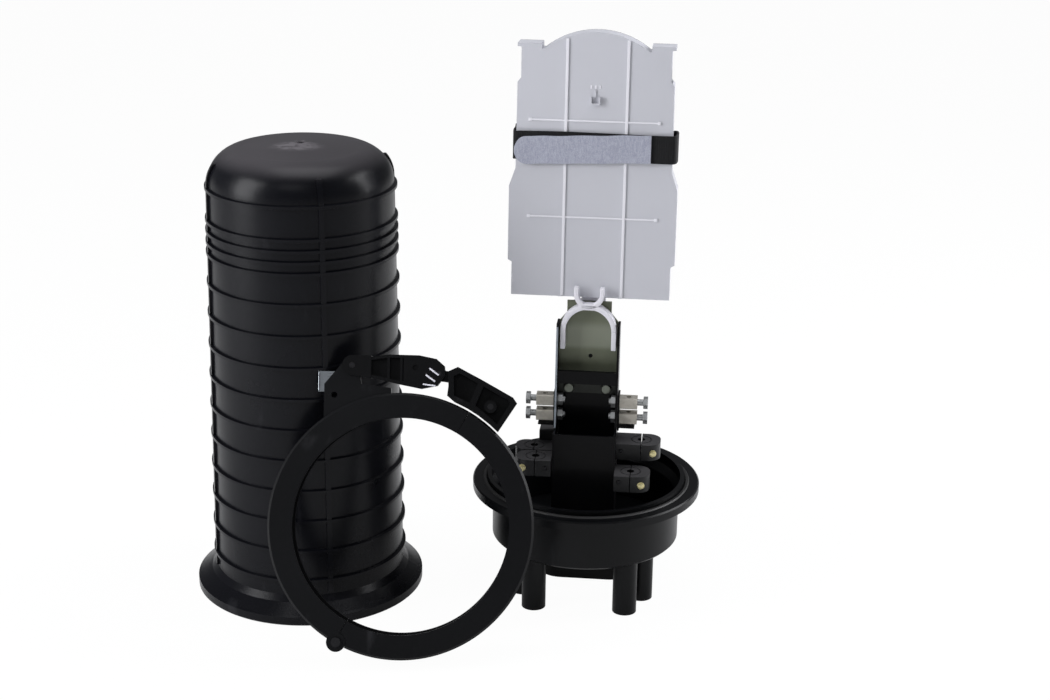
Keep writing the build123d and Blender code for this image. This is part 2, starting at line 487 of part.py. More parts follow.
def tray_hinge_bar():
    """The two hinge arms under the trays, each with an eye on the rod."""
    arms = []
    for side in (-1, 1):
        x = side * EAR_X - EAR_T * HALF
        arm = bar_x(EAR_R, x, x + EAR_T, ROD_Y, ROD_Z)
        arm += block(x, x + EAR_T, ROD_Y - EAR_R, ROD_Y + EAR_R, ROD_Z, TRAY_LOW_Z - BEAM_T)
        arm -= bar_x(ROD_R + PIN_GAP, x, x + EAR_T, ROD_Y, ROD_Z)
        arms.append(arm)
    reach = EAR_X + EAR_T * HALF
    beam = TRAY_PLACE * block(-reach, reach, BEAM_FRONT_Y, BEAM_BACK_Y, -BEAM_T, 0)
    return BASE_PLACE * union(beam, arms)


# ---- strap

def strap_loop():
    """The soft black loop round the whole stack."""
    back = TRAY_PITCH * TRAY_COUNT + COVER_T + STRAP_BACK_AIR
    front = -TRAY_RIB_PROUD - STRAP_FRONT_AIR
    outer = block(
        -STRAP_HALF_X - STRAP_T, STRAP_HALF_X + STRAP_T, front - STRAP_T, back + STRAP_T, STRAP_LOW_H, STRAP_HIGH_H
    )
    outer = fillet(outer.edges().filter_by(Axis.Z), STRAP_CORNER)
    inner = block(-STRAP_HALF_X, STRAP_HALF_X, front, back, STRAP_LOW_H, STRAP_HIGH_H)
    inner = fillet(inner.edges().filter_by(Axis.Z), STRAP_CORNER - STRAP_T)
    return BASE_PLACE * (TRAY_PLACE * (outer - inner))


def strap_hook():
    """The white hook end pressed on the loop's front."""
    back = -TRAY_RIB_PROUD - STRAP_FRONT_AIR - STRAP_T
    high = HOOK_HIGH_H - HOOK_LOW_H
    tab = block(HOOK_LEFT, HOOK_RIGHT, back - HOOK_T, back, HOOK_LOW_H, HOOK_HIGH_H)
    ends = tab.edges().filter_by(Axis.Y).sort_by(Axis.X)[:2]
    tab = fillet(ends, high * HALF - SMALL_OVERRUN * HALF)
    return BASE_PLACE * (TRAY_PLACE * tab)


# ---- cable clamps

def clamp_bore(name):
    """Bore and score circle that both halves of a cable clamp share."""
    x, y, top, half, end = CLAMPS[name]
    score = round_bar(SCORE_R, top - SCORE_DEPTH, top, x, y) - round_bar(SCORE_R - SCORE_W, top - SCORE_DEPTH, top, x, y)
    return round_bar(CLAMP_BORE_R, top - CLAMP_TALL, top, x, y) + score


def clamp_inner(name):
    """The half of a cable clamp that is fixed to the frame's side."""
    x, y, top, half, end = CLAMPS[name]
    side = 1 if x > 0 else -1
    low = top - CLAMP_TALL
    near, split = side * FRAME_HALF_X, x - side * CLAMP_SLIT * HALF
    left, right = min(near, split), max(near, split)
    return BASE_PLACE * (block(left, right, y - half, y + half, low, top) - clamp_bore(name))


def clamp_outer(name):
    """The rounded outer half of a cable clamp."""
    x, y, top, half, end = CLAMPS[name]
    side = 1 if x > 0 else -1
    low = top - CLAMP_TALL
    split, far = x + side * CLAMP_SLIT * HALF, x + side * end
    left, right = min(split, far), max(split, far)
    body = block(left, right, y - half, y + half, low, top)
    corners = body.edges().filter_by(Axis.Z).sort_by(Axis.X)
    body = fillet(corners[-2:] if side > 0 else corners[:2], half * ROUND_SHARE)
    return BASE_PLACE * (body - clamp_bore(name))


ROUND_SHARE = 0.8


def clamp_bolts():
    """The bolts that pull the clamp halves together."""
    bolts = []
    for x, y, top, half, end in (CLAMPS[name] for name in BOLTED):
        side = 1 if x > 0 else -1
        z = top - CLAMP_TALL * HALF
        place_y = y - half - CLAMP_BOLT_HEAD_H
        bolt_x = x + side * CLAMP_BOLT_IN
        bolts.append(bar_y(CLAMP_BOLT_HEAD_R, place_y, y - half, bolt_x, z))
    return BASE_PLACE * Compound(children=bolts)


def clamp_pad_screws():
    """A small screw on top of each clamp beside the frame."""
    screws = []
    for x, y, top, half, end in CLAMPS.values():
        side = 1 if x > 0 else -1
        place_x = side * (FRAME_HALF_X + PAD_SCREW_HEAD_R + SMALL_OVERRUN)
        screws.append(round_bar(PAD_SCREW_HEAD_R, top, top + PAD_SCREW_HEAD_H, place_x, y - half * HALF))
    return BASE_PLACE * Compound(children=screws)


# ---- strength-member clamps

def clamp_block(side, z):
    """One clamp block with its upright hole and the screw's bore."""
    left, right = sorted((side * BLOCK_IN_X, side * BLOCK_OUT_X))
    body = block(left, right, BLOCK_Y - BLOCK_HALF_Y, BLOCK_Y + BLOCK_HALF_Y, z, z + BLOCK_TALL)
    body = chamfer(body.edges().filter_by(Axis.X), BLOCK_EDGE)
    body -= round_bar(BLOCK_HOLE_R, z, z + BLOCK_TALL, side * BLOCK_HOLE_X, BLOCK_Y)
    return BASE_PLACE * (body - bar_x(HEX_SHANK_R, left, right, BLOCK_Y, z + BLOCK_TALL * HALF))


def hex_screws():
    """The hex-head screws through the clamp blocks."""
    screws = []
    for z in BLOCK_Z:
        middle = z + BLOCK_TALL * HALF
        screw = hexagon(HEX_FLATS, HEX_HEAD_X, HEX_HEAD_X + HEX_H, BLOCK_Y, middle)
        screw += bar_x(HEX_SHANK_R, HEX_END_X, HEX_HEAD_X, BLOCK_Y, middle)
        screws += [screw, mirrored(screw)]
    return BASE_PLACE * Compound(children=screws)


def hex_nuts():
    """The nuts inside the frame."""
    nuts = []
    for z in BLOCK_Z:
        middle = z + BLOCK_TALL * HALF
        nut = hexagon(HEX_FLATS, NUT_IN_X, FRAME_HALF_X - SHEET_T, BLOCK_Y, middle)
        nut -= bar_x(HEX_SHANK_R, NUT_IN_X, FRAME_HALF_X - SHEET_T, BLOCK_Y, middle)
        nuts += [nut, mirrored(nut)]
    return BASE_PLACE * Compound(children=nuts)


def clamp_angle(side):
    """The light metal angle between a side sheet and its blocks."""
    leg = block(FRAME_HALF_X, BLOCK_IN_X, ANGLE_FRONT_Y, ANGLE_BACK_Y, ANGLE_LOW_Z, ANGLE_TOP_Z)
    leg += block(FRAME_HALF_X, SHELF_OUT_X, ANGLE_FRONT_Y, ANGLE_BACK_Y, SHELF_LOW_Z, SHELF_TOP_Z)
    for z in BLOCK_Z:
        leg -= bar_x(HEX_SHANK_R, FRAME_HALF_X, BLOCK_IN_X, BLOCK_Y, z + BLOCK_TALL * HALF)
    return BASE_PLACE * (leg if side > 0 else mirrored(leg))


# ---- clamp ring

def polar(radius, angle):
    """A point in the ring's plane by radius and angle."""
    return (radius * cos(radians(angle)), radius * sin(radians(angle)))


def whole_ring():
    """The full channel-shaped hoop before it is split."""
    half = RING_HALF_T
    return turned((
        (RING_IN_R, -half), (RING_OUT_R - RING_EDGE, -half), (RING_OUT_R, RING_EDGE - half),
        (RING_OUT_R, half - RING_EDGE), (RING_OUT_R - RING_EDGE, half), (RING_IN_R, half),
        (RING_IN_R, V_MOUTH_HALF), (V_FLOOR_R, V_FLOOR_HALF), (V_FLOOR_R, -V_FLOOR_HALF),
        (RING_IN_R, -V_MOUTH_HALF),
    ))


def ring_sector(start, end):
    """A wedge between two angles, shortened at both ends by half the split's gap."""
    trim = degrees(atan2(SPLIT_GAP * HALF, RING_OUT_R))
    steps = [start + trim + (end - start - trim - trim) * i / WEDGE_STEPS for i in range(WEDGE_STEPS + 1)]
    reach = RING_OUT_R + RING_OUT_R
    return slab([(0, 0), *[polar(reach, a) for a in steps]], -RING_T, RING_T)


WEDGE_STEPS = 6


def knuckle(z0, z1, toward):
    """A hinge knuckle with a web to the ring at an angle."""
    body = round_bar(KNUCKLE_R, z0, z1, PIN_X, PIN_Y)
    x, y = polar(KNUCKLE_ROOT_R, toward)
    side_x, side_y = polar(KNUCKLE_R * WEB_SHARE, toward + QUARTER)
    web = slab((
        (PIN_X - side_x, PIN_Y - side_y), (PIN_X + side_x, PIN_Y + side_y), (x + side_x, y + side_y),
        (x - side_x, y - side_y),
    ), z0, z1)
    return body + web - round_bar(RING_IN_R + RING_EDGE, z0, z1)


WEB_SHARE = 0.8


def ring_left_half():
    """The half that leans on the dome, with the latch bracket and the two outer knuckles."""
    ring = whole_ring() & ring_sector(SPLIT_LATCH_DEG, SPLIT_HINGE_DEG)
    clear = KNUCKLE_R + FIT_GAP
    ring -= round_bar(clear, -KNUCKLE_MID_HALF - FIT_GAP, KNUCKLE_MID_HALF + FIT_GAP, PIN_X, PIN_Y)
    outer = [
        knuckle(KNUCKLE_MID_HALF + FIT_GAP, KNUCKLE_HALF, SPLIT_HINGE_DEG - KNUCKLE_ROOT_DEG),
        knuckle(-KNUCKLE_HALF, -KNUCKLE_MID_HALF - FIT_GAP, SPLIT_HINGE_DEG - KNUCKLE_ROOT_DEG),
    ]
    ring = union(ring, [part & ring_sector(SPLIT_LATCH_DEG, SPLIT_HINGE_DEG + KNUCKLE_ROOT_DEG) for part in outer])
    bracket = slab(BRACKET_OUTLINE, BRACKET_Z, BRACKET_TOP_Z)
    bracket -= round_bar(RING_OUT_R - RING_EDGE, BRACKET_Z, BRACKET_TOP_Z)
    bracket -= round_bar(BRACKET_HOLE_R, BRACKET_Z, BRACKET_TOP_Z, BRACKET_HOLE_X, BRACKET_HOLE_Y)
    ring += bracket
    ring -= round_bar(PIN_R, -RING_T, RING_T, PIN_X, PIN_Y)
    ring -= round_bar(ARM_PIN_R, -RING_T, RING_T, ARM_X, ARM_Y)
    return RING_PLACE * ring


def ring_right_half():
    """The half that swings open, with the middle knuckle."""
    ring = whole_ring() & ring_sector(SPLIT_HINGE_DEG, SPLIT_LATCH_DEG + FULL_TURN)
    clear = KNUCKLE_R + FIT_GAP
    for z0, z1 in ((KNUCKLE_MID_HALF, RING_T), (-RING_T, -KNUCKLE_MID_HALF)):
        ring -= round_bar(clear, z0, z1, PIN_X, PIN_Y)
    ring += knuckle(-KNUCKLE_MID_HALF, KNUCKLE_MID_HALF, SPLIT_HINGE_DEG + KNUCKLE_ROOT_DEG)
    ring -= round_bar(PIN_R + PIN_GAP, -RING_T, RING_T, PIN_X, PIN_Y)
    return RING_PLACE * ring


def ring_pin():
    """The pin through the ring's knuckles."""
    pin = round_bar(PIN_R, -PIN_HALF, PIN_HALF, PIN_X, PIN_Y)
    return RING_PLACE * (pin + round_bar(PIN_HEAD_R, PIN_HALF, PIN_HALF + PIN_HEAD_H, PIN_X, PIN_Y))


# ---- latch

def latch_arm():
    """The latch's long arm: a fork round the bracket, cross ribs and a rounded end."""
    body = slab(ARM_OUTLINE, ARM_Z, ARM_TOP_Z)
    fork = round_bar(ARM_EYE_R, ARM_FORK_Z, ARM_FORK_TOP_Z, ARM_X, ARM_Y)
    shoulder = slab((
        (ARM_X, ARM_Y - ARM_EYE_R), (ARM_OUTLINE[-1][0] + ARM_WALL, ARM_OUTLINE[-1][1] - ARM_WALL * HALF),
        (ARM_OUTLINE[0][0] + ARM_WALL, ARM_OUTLINE[0][1] + ARM_WALL * HALF), (ARM_X, ARM_Y + ARM_EYE_R),
    ), ARM_FORK_Z, ARM_FORK_TOP_Z)
    gap = round_bar(
        ARM_EYE_R + ARM_WALL + ARM_WALL, BRACKET_Z - FIT_GAP, BRACKET_TOP_Z + FIT_GAP, ARM_X, ARM_Y
    )
    body = body + (fork + shoulder - gap)
    body -= arm_pockets()
    body -= round_bar(DIMPLE_R, ARM_TOP_Z - DIMPLE_DEEP, ARM_TOP_Z, DIMPLE_X, DIMPLE_Y)
    body -= lever_eye_room()
    body -= round_bar(ARM_PIN_R + PIN_GAP, -RING_T, RING_T, ARM_X, ARM_Y)
    return RING_PLACE * (body - round_bar(LEVER_PIN_R, -RING_T, RING_T, LEVER_X, LEVER_Y))


def arm_pockets():
    """The pockets between the arm's cross ribs."""
    floor = ARM_TOP_Z - ARM_POCKET
    edges = (ARM_POCKET_START, *ARM_RIB_X, ARM_PANEL_X)
    pockets = []
    for start, end in zip(edges, edges[1:]):
        left, right = start + ARM_RIB_W * HALF, end - ARM_RIB_W * HALF
        pockets.append(slab((
            (left, arm_edge(left, ARM_LOW_EDGE) + ARM_WALL), (right, arm_edge(right, ARM_LOW_EDGE) + ARM_WALL),
            (right, arm_edge(right, ARM_TOP_EDGE) - ARM_WALL), (left, arm_edge(left, ARM_TOP_EDGE) - ARM_WALL),
        ), floor, ARM_TOP_Z))
    return pockets


ARM_POCKET_START = -29.0
ARM_LOW_EDGE = ((-30.0, 128.5), (-4.0, 122.5))
ARM_TOP_EDGE = ((-30.0, 145.5), (-12.0, 148.0))


def arm_edge(x, edge):
    """Height of the arm's edge at an x, along a straight line and flat beyond its end."""
    (x0, y0), (x1, y1) = edge
    share = min((x - x0) / (x1 - x0), 1)
    return y0 + (y1 - y0) * share


def lever_eye_room():
    """Room in the arm's end for the lever's eye and its sweep."""
    z0, z1 = -LEVER_MID_HALF - FIT_GAP + LATCH_MID_Z, LEVER_MID_HALF + FIT_GAP + LATCH_MID_Z
    room = round_bar(LEVER_EYE_R + SMALL_OVERRUN, z0, z1, LEVER_X, LEVER_Y)
    reach = RING_OUT_R
    return room + slab((
        (LEVER_X, LEVER_Y + LEVER_EYE_R + SMALL_OVERRUN), (LEVER_X, LEVER_Y - LEVER_EYE_R - SMALL_OVERRUN),
        (LEVER_X + reach, LEVER_Y - reach), (LEVER_X + reach, LEVER_Y + LEVER_EYE_R + SMALL_OVERRUN),
    ), z0, z1)


LATCH_MID_Z = 6.0


def latch_lever():
    """The wide end of the latch, with two pockets, a screw boss and an eye in the arm."""
    body = slab(LEVER_OUTLINE, LEVER_LOW_Z, LEVER_TOP_Z)
    for pocket in LEVER_POCKETS:
        body -= slab(pocket, LEVER_TOP_Z - LEVER_POCKET_DEEP, LEVER_TOP_Z)
    body += round_bar(BOSS_R, LEVER_LOW_Z, LEVER_TOP_Z, BOSS_X, BOSS_Y)
    body -= round_bar(BOSS_SCREW_R, LEVER_LOW_Z, LEVER_TOP_Z, BOSS_X, BOSS_Y)
    z0, z1 = LATCH_MID_Z - LEVER_MID_HALF, LATCH_MID_Z + LEVER_MID_HALF
    eye = round_bar(LEVER_EYE_R, z0, z1, LEVER_X, LEVER_Y)
    inner, outer = LEVER_OUTLINE[0], LEVER_OUTLINE[1]
    eye += slab((
        (LEVER_X, LEVER_Y - LEVER_EYE_R), (inner[0] + ARM_WALL, inner[1] + ARM_WALL),
        (outer[0] + ARM_WALL, outer[1]), (LEVER_X, LEVER_Y + LEVER_EYE_R * HALF),
    ), z0, z1)
    body += eye
    return RING_PLACE * (body - round_bar(LEVER_PIN_R + PIN_GAP, -RING_T, RING_T, LEVER_X, LEVER_Y))


def arm_pin():
    """The pin of the latch arm, fixed in the bracket."""
    return RING_PLACE * round_bar(ARM_PIN_R, ARM_FORK_Z, ARM_FORK_TOP_Z, ARM_X, ARM_Y)


def lever_pin():
    """The pin of the wide end, fixed in the arm."""
    return RING_PLACE * round_bar(LEVER_PIN_R, ARM_Z, ARM_TOP_Z, LEVER_X, LEVER_Y)


def lever_screw():
    """The screw set in the lever's boss."""
    screw = round_bar(BOSS_SCREW_R, LEVER_LOW_Z, LEVER_TOP_Z, BOSS_X, BOSS_Y)
    return RING_PLACE * screw


def catch_plate():
    """The bright steel plate on the latch bracket."""
    return RING_PLACE * slab(CATCH_PLATE, BRACKET_TOP_Z, BRACKET_TOP_Z + CATCH_PLATE_T)


def catch_rivets():
    """The rivets that hold the steel plate."""
    low = BRACKET_TOP_Z + CATCH_PLATE_T
    rivets = [round_bar(CATCH_RIVET_R, low, low + CATCH_RIVET_H, x, y) for x, y in CATCH_RIVETS]
    return RING_PLACE * Compound(children=rivets)


PARTS = {
    "dome_cover": dome_cover,
    "base_housing": base_housing,
    "sealing_ring": sealing_ring,
    "inner_frame": inner_frame,
    "foot_screws": foot_screws,
    "crossbar": crossbar,
    "support_plate": support_plate,
    "pan_screws": pan_screws,
    "tray_holder": tray_holder,
    "tray_carrier": tray_carrier,
    "tray_rod": tray_rod,
    "splice_tray_front": front_tray,
    "tray_cover": tray_cover,
    "tray_hinge_bar": tray_hinge_bar,
    "strap_loop": strap_loop,
    "strap_hook": strap_hook,
    "clamp_bolts": clamp_bolts,
    "clamp_pad_screws": clamp_pad_screws,
    "hex_screws": hex_screws,
    "hex_nuts": hex_nuts,
    "ring_left_half": ring_left_half,
    "ring_right_half": ring_right_half,
    "ring_pin": ring_pin,
    "latch_arm": latch_arm,
    "latch_lever": latch_lever,
    "arm_pin": arm_pin,
    "lever_pin": lever_pin,
    "lever_screw": lever_screw,
    "catch_plate": catch_plate,
    "catch_rivets": catch_rivets,
}


def write(name, shape):
    """Writes one named piece."""
    shape.label = name
    export_step(shape, f"parts/{name}.step")


for name, make in PARTS.items():
    write(name, make())
for index in range(1, TRAY_COUNT):
    write(f"splice_tray_{index + 1}", tray_behind(index))
for name in CLAMPS:
    write(f"cable_clamp_{name}_inner", clamp_inner(name))
    write(f"cable_clamp_{name}_outer", clamp_outer(name))
for side, word in ((-1, "left"), (1, "right")):
    write(f"clamp_angle_{word}", clamp_angle(side))
    for z, level in zip(BLOCK_Z, ("low", "high")):
        write(f"strength_clamp_{word}_{level}", clamp_block(side, z))
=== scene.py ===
from math import atan2, cos, pi, radians, sin

import bpy
from mathutils import Matrix, Vector


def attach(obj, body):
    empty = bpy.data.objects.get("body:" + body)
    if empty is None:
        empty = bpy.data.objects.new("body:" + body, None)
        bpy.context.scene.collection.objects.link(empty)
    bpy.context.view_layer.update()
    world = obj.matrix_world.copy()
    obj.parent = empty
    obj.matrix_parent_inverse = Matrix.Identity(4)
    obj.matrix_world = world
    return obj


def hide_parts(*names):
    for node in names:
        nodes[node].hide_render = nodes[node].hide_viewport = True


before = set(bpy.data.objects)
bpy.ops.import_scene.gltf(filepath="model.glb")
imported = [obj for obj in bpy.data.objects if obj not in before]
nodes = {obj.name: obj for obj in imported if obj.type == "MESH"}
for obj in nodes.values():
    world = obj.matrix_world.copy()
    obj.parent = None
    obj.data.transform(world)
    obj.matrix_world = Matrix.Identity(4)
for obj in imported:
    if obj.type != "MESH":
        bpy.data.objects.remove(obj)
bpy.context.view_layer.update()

bpy.ops.object.select_all(action="DESELECT")


# Dome cover. One large moulding of black polypropylene, open at the bottom and ribbed for stiffness.
# The mould leaves a fine spark-eroded grain, and handling leaves the crown a little dusty and paler.
class Wire:
    """A shader node's output, on which sums and products add Math nodes."""

    def __init__(self, look, socket):
        self.look, self.socket = look, socket

    def maths(self, operation, first, second):
        return self.look.node("ShaderNodeMath", {"operation": operation}, {0: first, 1: second})

    def __add__(self, other):
        return self.maths("ADD", self, other)

    def __sub__(self, other):
        return self.maths("SUBTRACT", self, other)

    def __rsub__(self, other):
        return self.maths("SUBTRACT", other, self)

    def __mul__(self, other):
        return self.maths("MULTIPLY", self, other)

    __radd__ = __add__
    __rmul__ = __mul__

    def most(self, other):
        return self.maths("MAXIMUM", self, other)

    def part(self, name):
        """Another output of the same node."""
        return Wire(self.look, self.socket.node.outputs[name])

    def band(self, low, high):
        """0 below low, 1 above high and smooth between."""
        settings = {"interpolation_type": "SMOOTHSTEP"}
        sockets = {"Value": self, "From Min": low, "From Max": high}
        return self.look.node("ShaderNodeMapRange", settings, sockets)


class Look:
    """A finish, or the world's light, whose nodes are all added by node()."""

    def __init__(self, name, owner=None, **constants):
        self.material = owner or bpy.data.materials.new(name)
        self.material.use_nodes = True
        self.tree = self.material.node_tree
        self.shader = self.tree.nodes.get("Principled BSDF")
        for key, value in constants.items():
            self.shader.inputs[key.replace("_", " ")].default_value = value

    def node(self, kind, settings, sockets, output=0):
        """Adds a node with its settings, then its sockets' values or links, and gives one of its outputs."""
        made = self.tree.nodes.new(kind)
        for key, value in settings.items():
            setattr(made, key, value)
        for key, value in sockets.items():
            if isinstance(value, Wire):
                self.tree.links.new(value.socket, made.inputs[key])
            elif made.inputs[key].type == "RGBA":
                made.inputs[key].default_value = (*value, 1)
            else:
                made.inputs[key].default_value = value
        return Wire(self, made.outputs[output])

    def feed(self, name, wire):
        self.tree.links.new(wire.socket, self.shader.inputs[name])

    def show(self, wire):
        """Puts a shader on the surface in place of the first one."""
        outputs = ("ShaderNodeOutputMaterial", "ShaderNodeOutputWorld")
        ends = [node for node in self.tree.nodes if node.bl_idname in outputs]
        self.tree.links.new(wire.socket, ends[0].inputs["Surface"])

    def place(self, scale=(1, 1, 1), shift=(0, 0, 0)):
        """Object coordinates, stretched and moved."""
        where = self.node("ShaderNodeTexCoord", {}, {}, "Object")
        return self.node("ShaderNodeMapping", {}, {"Vector": where, "Scale": scale, "Location": shift})

    def height(self):
        return self.node("ShaderNodeSeparateXYZ", {}, {"Vector": self.place()}, "Z")

    def noise(self, scale, detail=2.0, stretch=(1, 1, 1)):
        sockets = {"Vector": self.place(stretch), "Scale": scale, "Detail": detail}
        return self.node("ShaderNodeTexNoise", {}, sockets)

    def blend(self, share, first, second):
        """A colour between two by a share. A Mix node's sockets share their names, so they go by number."""
        return self.node("ShaderNodeMix", {"data_type": "RGBA"}, {0: share, 6: first, 7: second}, 2)

    def bump(self, height, distance, strength, under=None):
        """A normal that follows a height, over another normal where one is given."""
        sockets = {"Height": height, "Distance": distance, "Strength": strength}
        if under is not None:
            sockets["Normal"] = under
        return self.node("ShaderNodeBump", {}, sockets)


def dress(look, *names):
    """Gives CAD nodes a finish."""
    for name in names:
        mesh = nodes[name].data
        mesh.materials.clear()
        mesh.materials.append(look.material)


def moulded_black(name, tone, gloss, dust=None):
    """Black moulded plastic: fine grain, flow clouds, pale scuffs and specks, and dust where it is given."""
    darker, paler = tuple(t * 0.8 for t in tone), tuple(t * 1.25 for t in tone)
    scuff_grey, dust_grey = (0.05, 0.05, 0.056), (0.115, 0.108, 0.116)
    look = Look(name, IOR=1.45, Specular_IOR_Level=0.15)
    cloud = look.noise(9.0, detail=4.0)
    scuff = look.noise(60.0, detail=5.0, stretch=(1, 1, 0.25)).band(0.62, 0.8)
    speck = look.noise(900.0).band(0.6, 0.85)
    colour = look.blend(cloud, darker, paler)
    colour = look.blend(scuff * 0.2 + speck * 0.1, colour, scuff_grey)
    rough = gloss + cloud * 0.1 + scuff * 0.12
    if dust:
        film = dust(look, cloud)
        colour = look.blend(film, colour, dust_grey)
        rough = rough + film * 0.16
    grain = look.bump(look.noise(2600.0, detail=3.0), distance=0.00004, strength=0.5)
    look.feed("Base Color", colour)
    look.feed("Roughness", rough)
    look.feed("Normal", look.bump(look.noise(22.0), distance=0.0003, strength=0.25, under=grain))
    return look


crown_x, crown_y = -0.131, 0.030
crown_edge_height, crown_top_height = 0.401, 0.4165
patch_full, patch_end = 0.006, 0.028
patch_squeeze = 1.5


def crown_dust(look, cloud):
    """A thin film on the crown, and a mottled patch at its middle that is squeezed front to back."""
    on_crown = look.height().band(crown_edge_height, crown_top_height)
    from_middle = look.place((1, patch_squeeze, 0), shift=(-crown_x, -crown_y * patch_squeeze, 0))
    away = look.node("ShaderNodeVectorMath", {"operation": "LENGTH"}, {0: from_middle}, "Value")
    mottle = look.noise(170.0, detail=4.0).band(0.3, 0.65)
    film = on_crown * (0.3 + cloud * 0.25)
    return film + (1 - away.band(patch_full, patch_end)) * on_crown * mottle


dome_black = moulded_black("dome_black_moulding", (0.0032, 0.0034, 0.0048), gloss=0.23, dust=crown_dust)
dress(dome_black, "dome_cover")


# Clamp ring. Two half hoops of glass-filled black nylon that pull the dome's flange on to the base's rim.
# They turn on a blackened steel pin at the bottom and close with the latch at the top.
def plated_metal(name, colour, rough, tarnish, streak=(1, 1, 1), metal=1.0):
    """Plated or plain steel: drawn streaks and darker stains. Less metal stands for more oxide or paint."""
    look = Look(name, Metallic=metal)
    drawn = look.noise(500.0, stretch=streak)
    stain = look.noise(120.0, detail=4.0).band(0.5, 0.75)
    look.feed("Base Color", look.blend(stain * 0.6, colour, tarnish))
    look.feed("Roughness", rough + drawn * 0.16 + stain * 0.12)
    look.feed("Normal", look.bump(drawn, distance=0.00004, strength=0.4))
    return look


ring_black = moulded_black("ring_black_nylon", (0.0042, 0.0044, 0.005), gloss=0.36)
dark_steel = plated_metal("blackened_steel", (0.028, 0.028, 0.03), rough=0.45, tarnish=(0.014, 0.014, 0.014))
dress(ring_black, "ring_left_half", "ring_right_half")
dress(dark_steel, "ring_pin")


# Latch. A long black nylon arm on the left half and a wide lever at its end that holds the right half.
# Both are mouldings, and blackened steel pins and a screw join them.
latch_black = moulded_black("latch_black_nylon", (0.003, 0.0031, 0.0035), gloss=0.32)
dress(latch_black, "latch_arm", "latch_lever")
dress(dark_steel, "arm_pin", "lever_pin", "lever_screw")


# Catch plate. A bright strip of spring steel behind the bracket that carries the latch's arm.
# It is cut off at a slant on the right, and its left end shows beside the bracket and has a bent lip.
ring_lean = radians(22.0)
ring_radius, ring_half_depth = 0.115, 0.013
ring_x, ring_front_y = -0.0345, -0.14485
ring_centre = (
    ring_x,
    ring_front_y + ring_radius * sin(ring_lean) + ring_half_depth * cos(ring_lean),
    ring_radius * cos(ring_lean) + ring_half_depth * sin(ring_lean),
)
ring_plane = Matrix.Translation(ring_centre) @ Matrix.Rotation(pi / 2 - ring_lean, 4, "X")


def take(*pieces):
    """Selects these pieces and nothing else, and makes the first of them active."""
    bpy.ops.object.select_all(action="DESELECT")
    for piece in pieces:
        piece.select_set(True)
        bpy.context.view_layer.objects.active = pieces[0]


def lay_down(piece, place):
    """Turns a piece made on the flat into its place and bakes that into its mesh."""
    piece.matrix_world = place @ piece.matrix_world
    take(piece)
    bpy.ops.object.transform_apply(location=True, rotation=True, scale=True)
    return piece


def ease_edges(offset, segments):
    """Rounds every edge of the active piece."""
    bpy.ops.object.mode_set(mode="EDIT")
    bpy.ops.mesh.select_all(action="SELECT")
    bpy.ops.mesh.bevel(offset=offset, segments=segments, affect="EDGES")
    bpy.ops.object.mode_set(mode="OBJECT")


def flat_bar(name, centre, size, bevel, segments=2):
    """A small bar with rounded edges, added at its size and place."""
    take()
    bpy.ops.mesh.primitive_cube_add(size=1.0, location=centre)
    bar = bpy.context.object
    bar.name, bar.scale = name, size
    bpy.ops.object.transform_apply(location=False, rotation=False, scale=True)
    ease_edges(bevel, segments)
    return bar


def joined(name, pieces):
    """Several meshes as one piece."""
    take(*pieces)
    bpy.ops.object.join()
    whole = bpy.context.object
    whole.name = whole.data.name = name
    return whole


def finish_with(look, piece, body):
    """Gives a new piece its finish and the body it rides on."""
    piece.data.materials.clear()
    piece.data.materials.append(look.material)
    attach(piece, body)


catch_y = 0.1243
catch_cut_x, catch_cut_slant = -0.0525, 0.18
catch_strip = flat_bar(
    "strip", centre=(-0.0615, catch_y, 0.0040), size=(0.0240, 0.0176, 0.0009), bevel=0.0003
)
bpy.ops.object.mode_set(mode="EDIT")
bpy.ops.mesh.select_all(action="SELECT")
bpy.ops.mesh.bisect(
    plane_co=(catch_cut_x, catch_y, 0.0),
    plane_no=(1.0, catch_cut_slant, 0.0),
    use_fill=True,
    clear_outer=True,
)
bpy.ops.object.mode_set(mode="OBJECT")
catch_lip = flat_bar("lip", centre=(-0.0731, catch_y, 0.0046), size=(0.0010, 0.0168, 0.0022), bevel=0.0003)
catch = lay_down(joined("spring_steel_catch", [catch_strip, catch_lip]), ring_plane)
bright_steel = plated_metal(
    "bright_steel_plate", (0.4, 0.43, 0.46), rough=0.22, tarnish=(0.26, 0.28, 0.3), streak=(0.2, 1, 3)
)
finish_with(bright_steel, catch, "root")
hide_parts("catch_plate", "catch_rivets")


# Paint marks. Three short strokes of white paint on the latch's arm, next to its joint with the lever.
# The paint is thick enough to stand proud of the nylon, and handling has worn it.
stroke_width, stroke_thick, stroke_height = 0.0014, 0.0004, 0.0121
stroke_ends = (
    ((0.0230, 0.1364), (0.0310, 0.1306)),
    ((0.0199, 0.1308), (0.0279, 0.1249)),
    ((0.0174, 0.1227), (0.0282, 0.1213)),
)
mark_white = Look("paint_mark_white", IOR=1.45)
mark_wear = mark_white.noise(900.0, detail=3.0)
mark_tone = mark_white.blend(mark_wear.band(0.35, 0.7), (0.5, 0.5, 0.56), (0.78, 0.77, 0.83))
mark_white.feed("Base Color", mark_tone)
mark_white.feed("Roughness", 0.5 + mark_wear * 0.2)
strokes = []
for start, end in stroke_ends:
    run = Vector(end) - Vector(start)
    middle = (Vector(start) + Vector(end)) / 2
    place = Matrix.Translation((middle.x, middle.y, stroke_height))
    turn = Matrix.Rotation(run.angle_signed(Vector((1, 0))), 4, "Z")
    stroke_size = (run.length, stroke_width, stroke_thick)
    stroke = flat_bar("stroke", centre=(0, 0, 0), size=stroke_size, bevel=0.00015)
    strokes.append(lay_down(stroke, place @ turn))
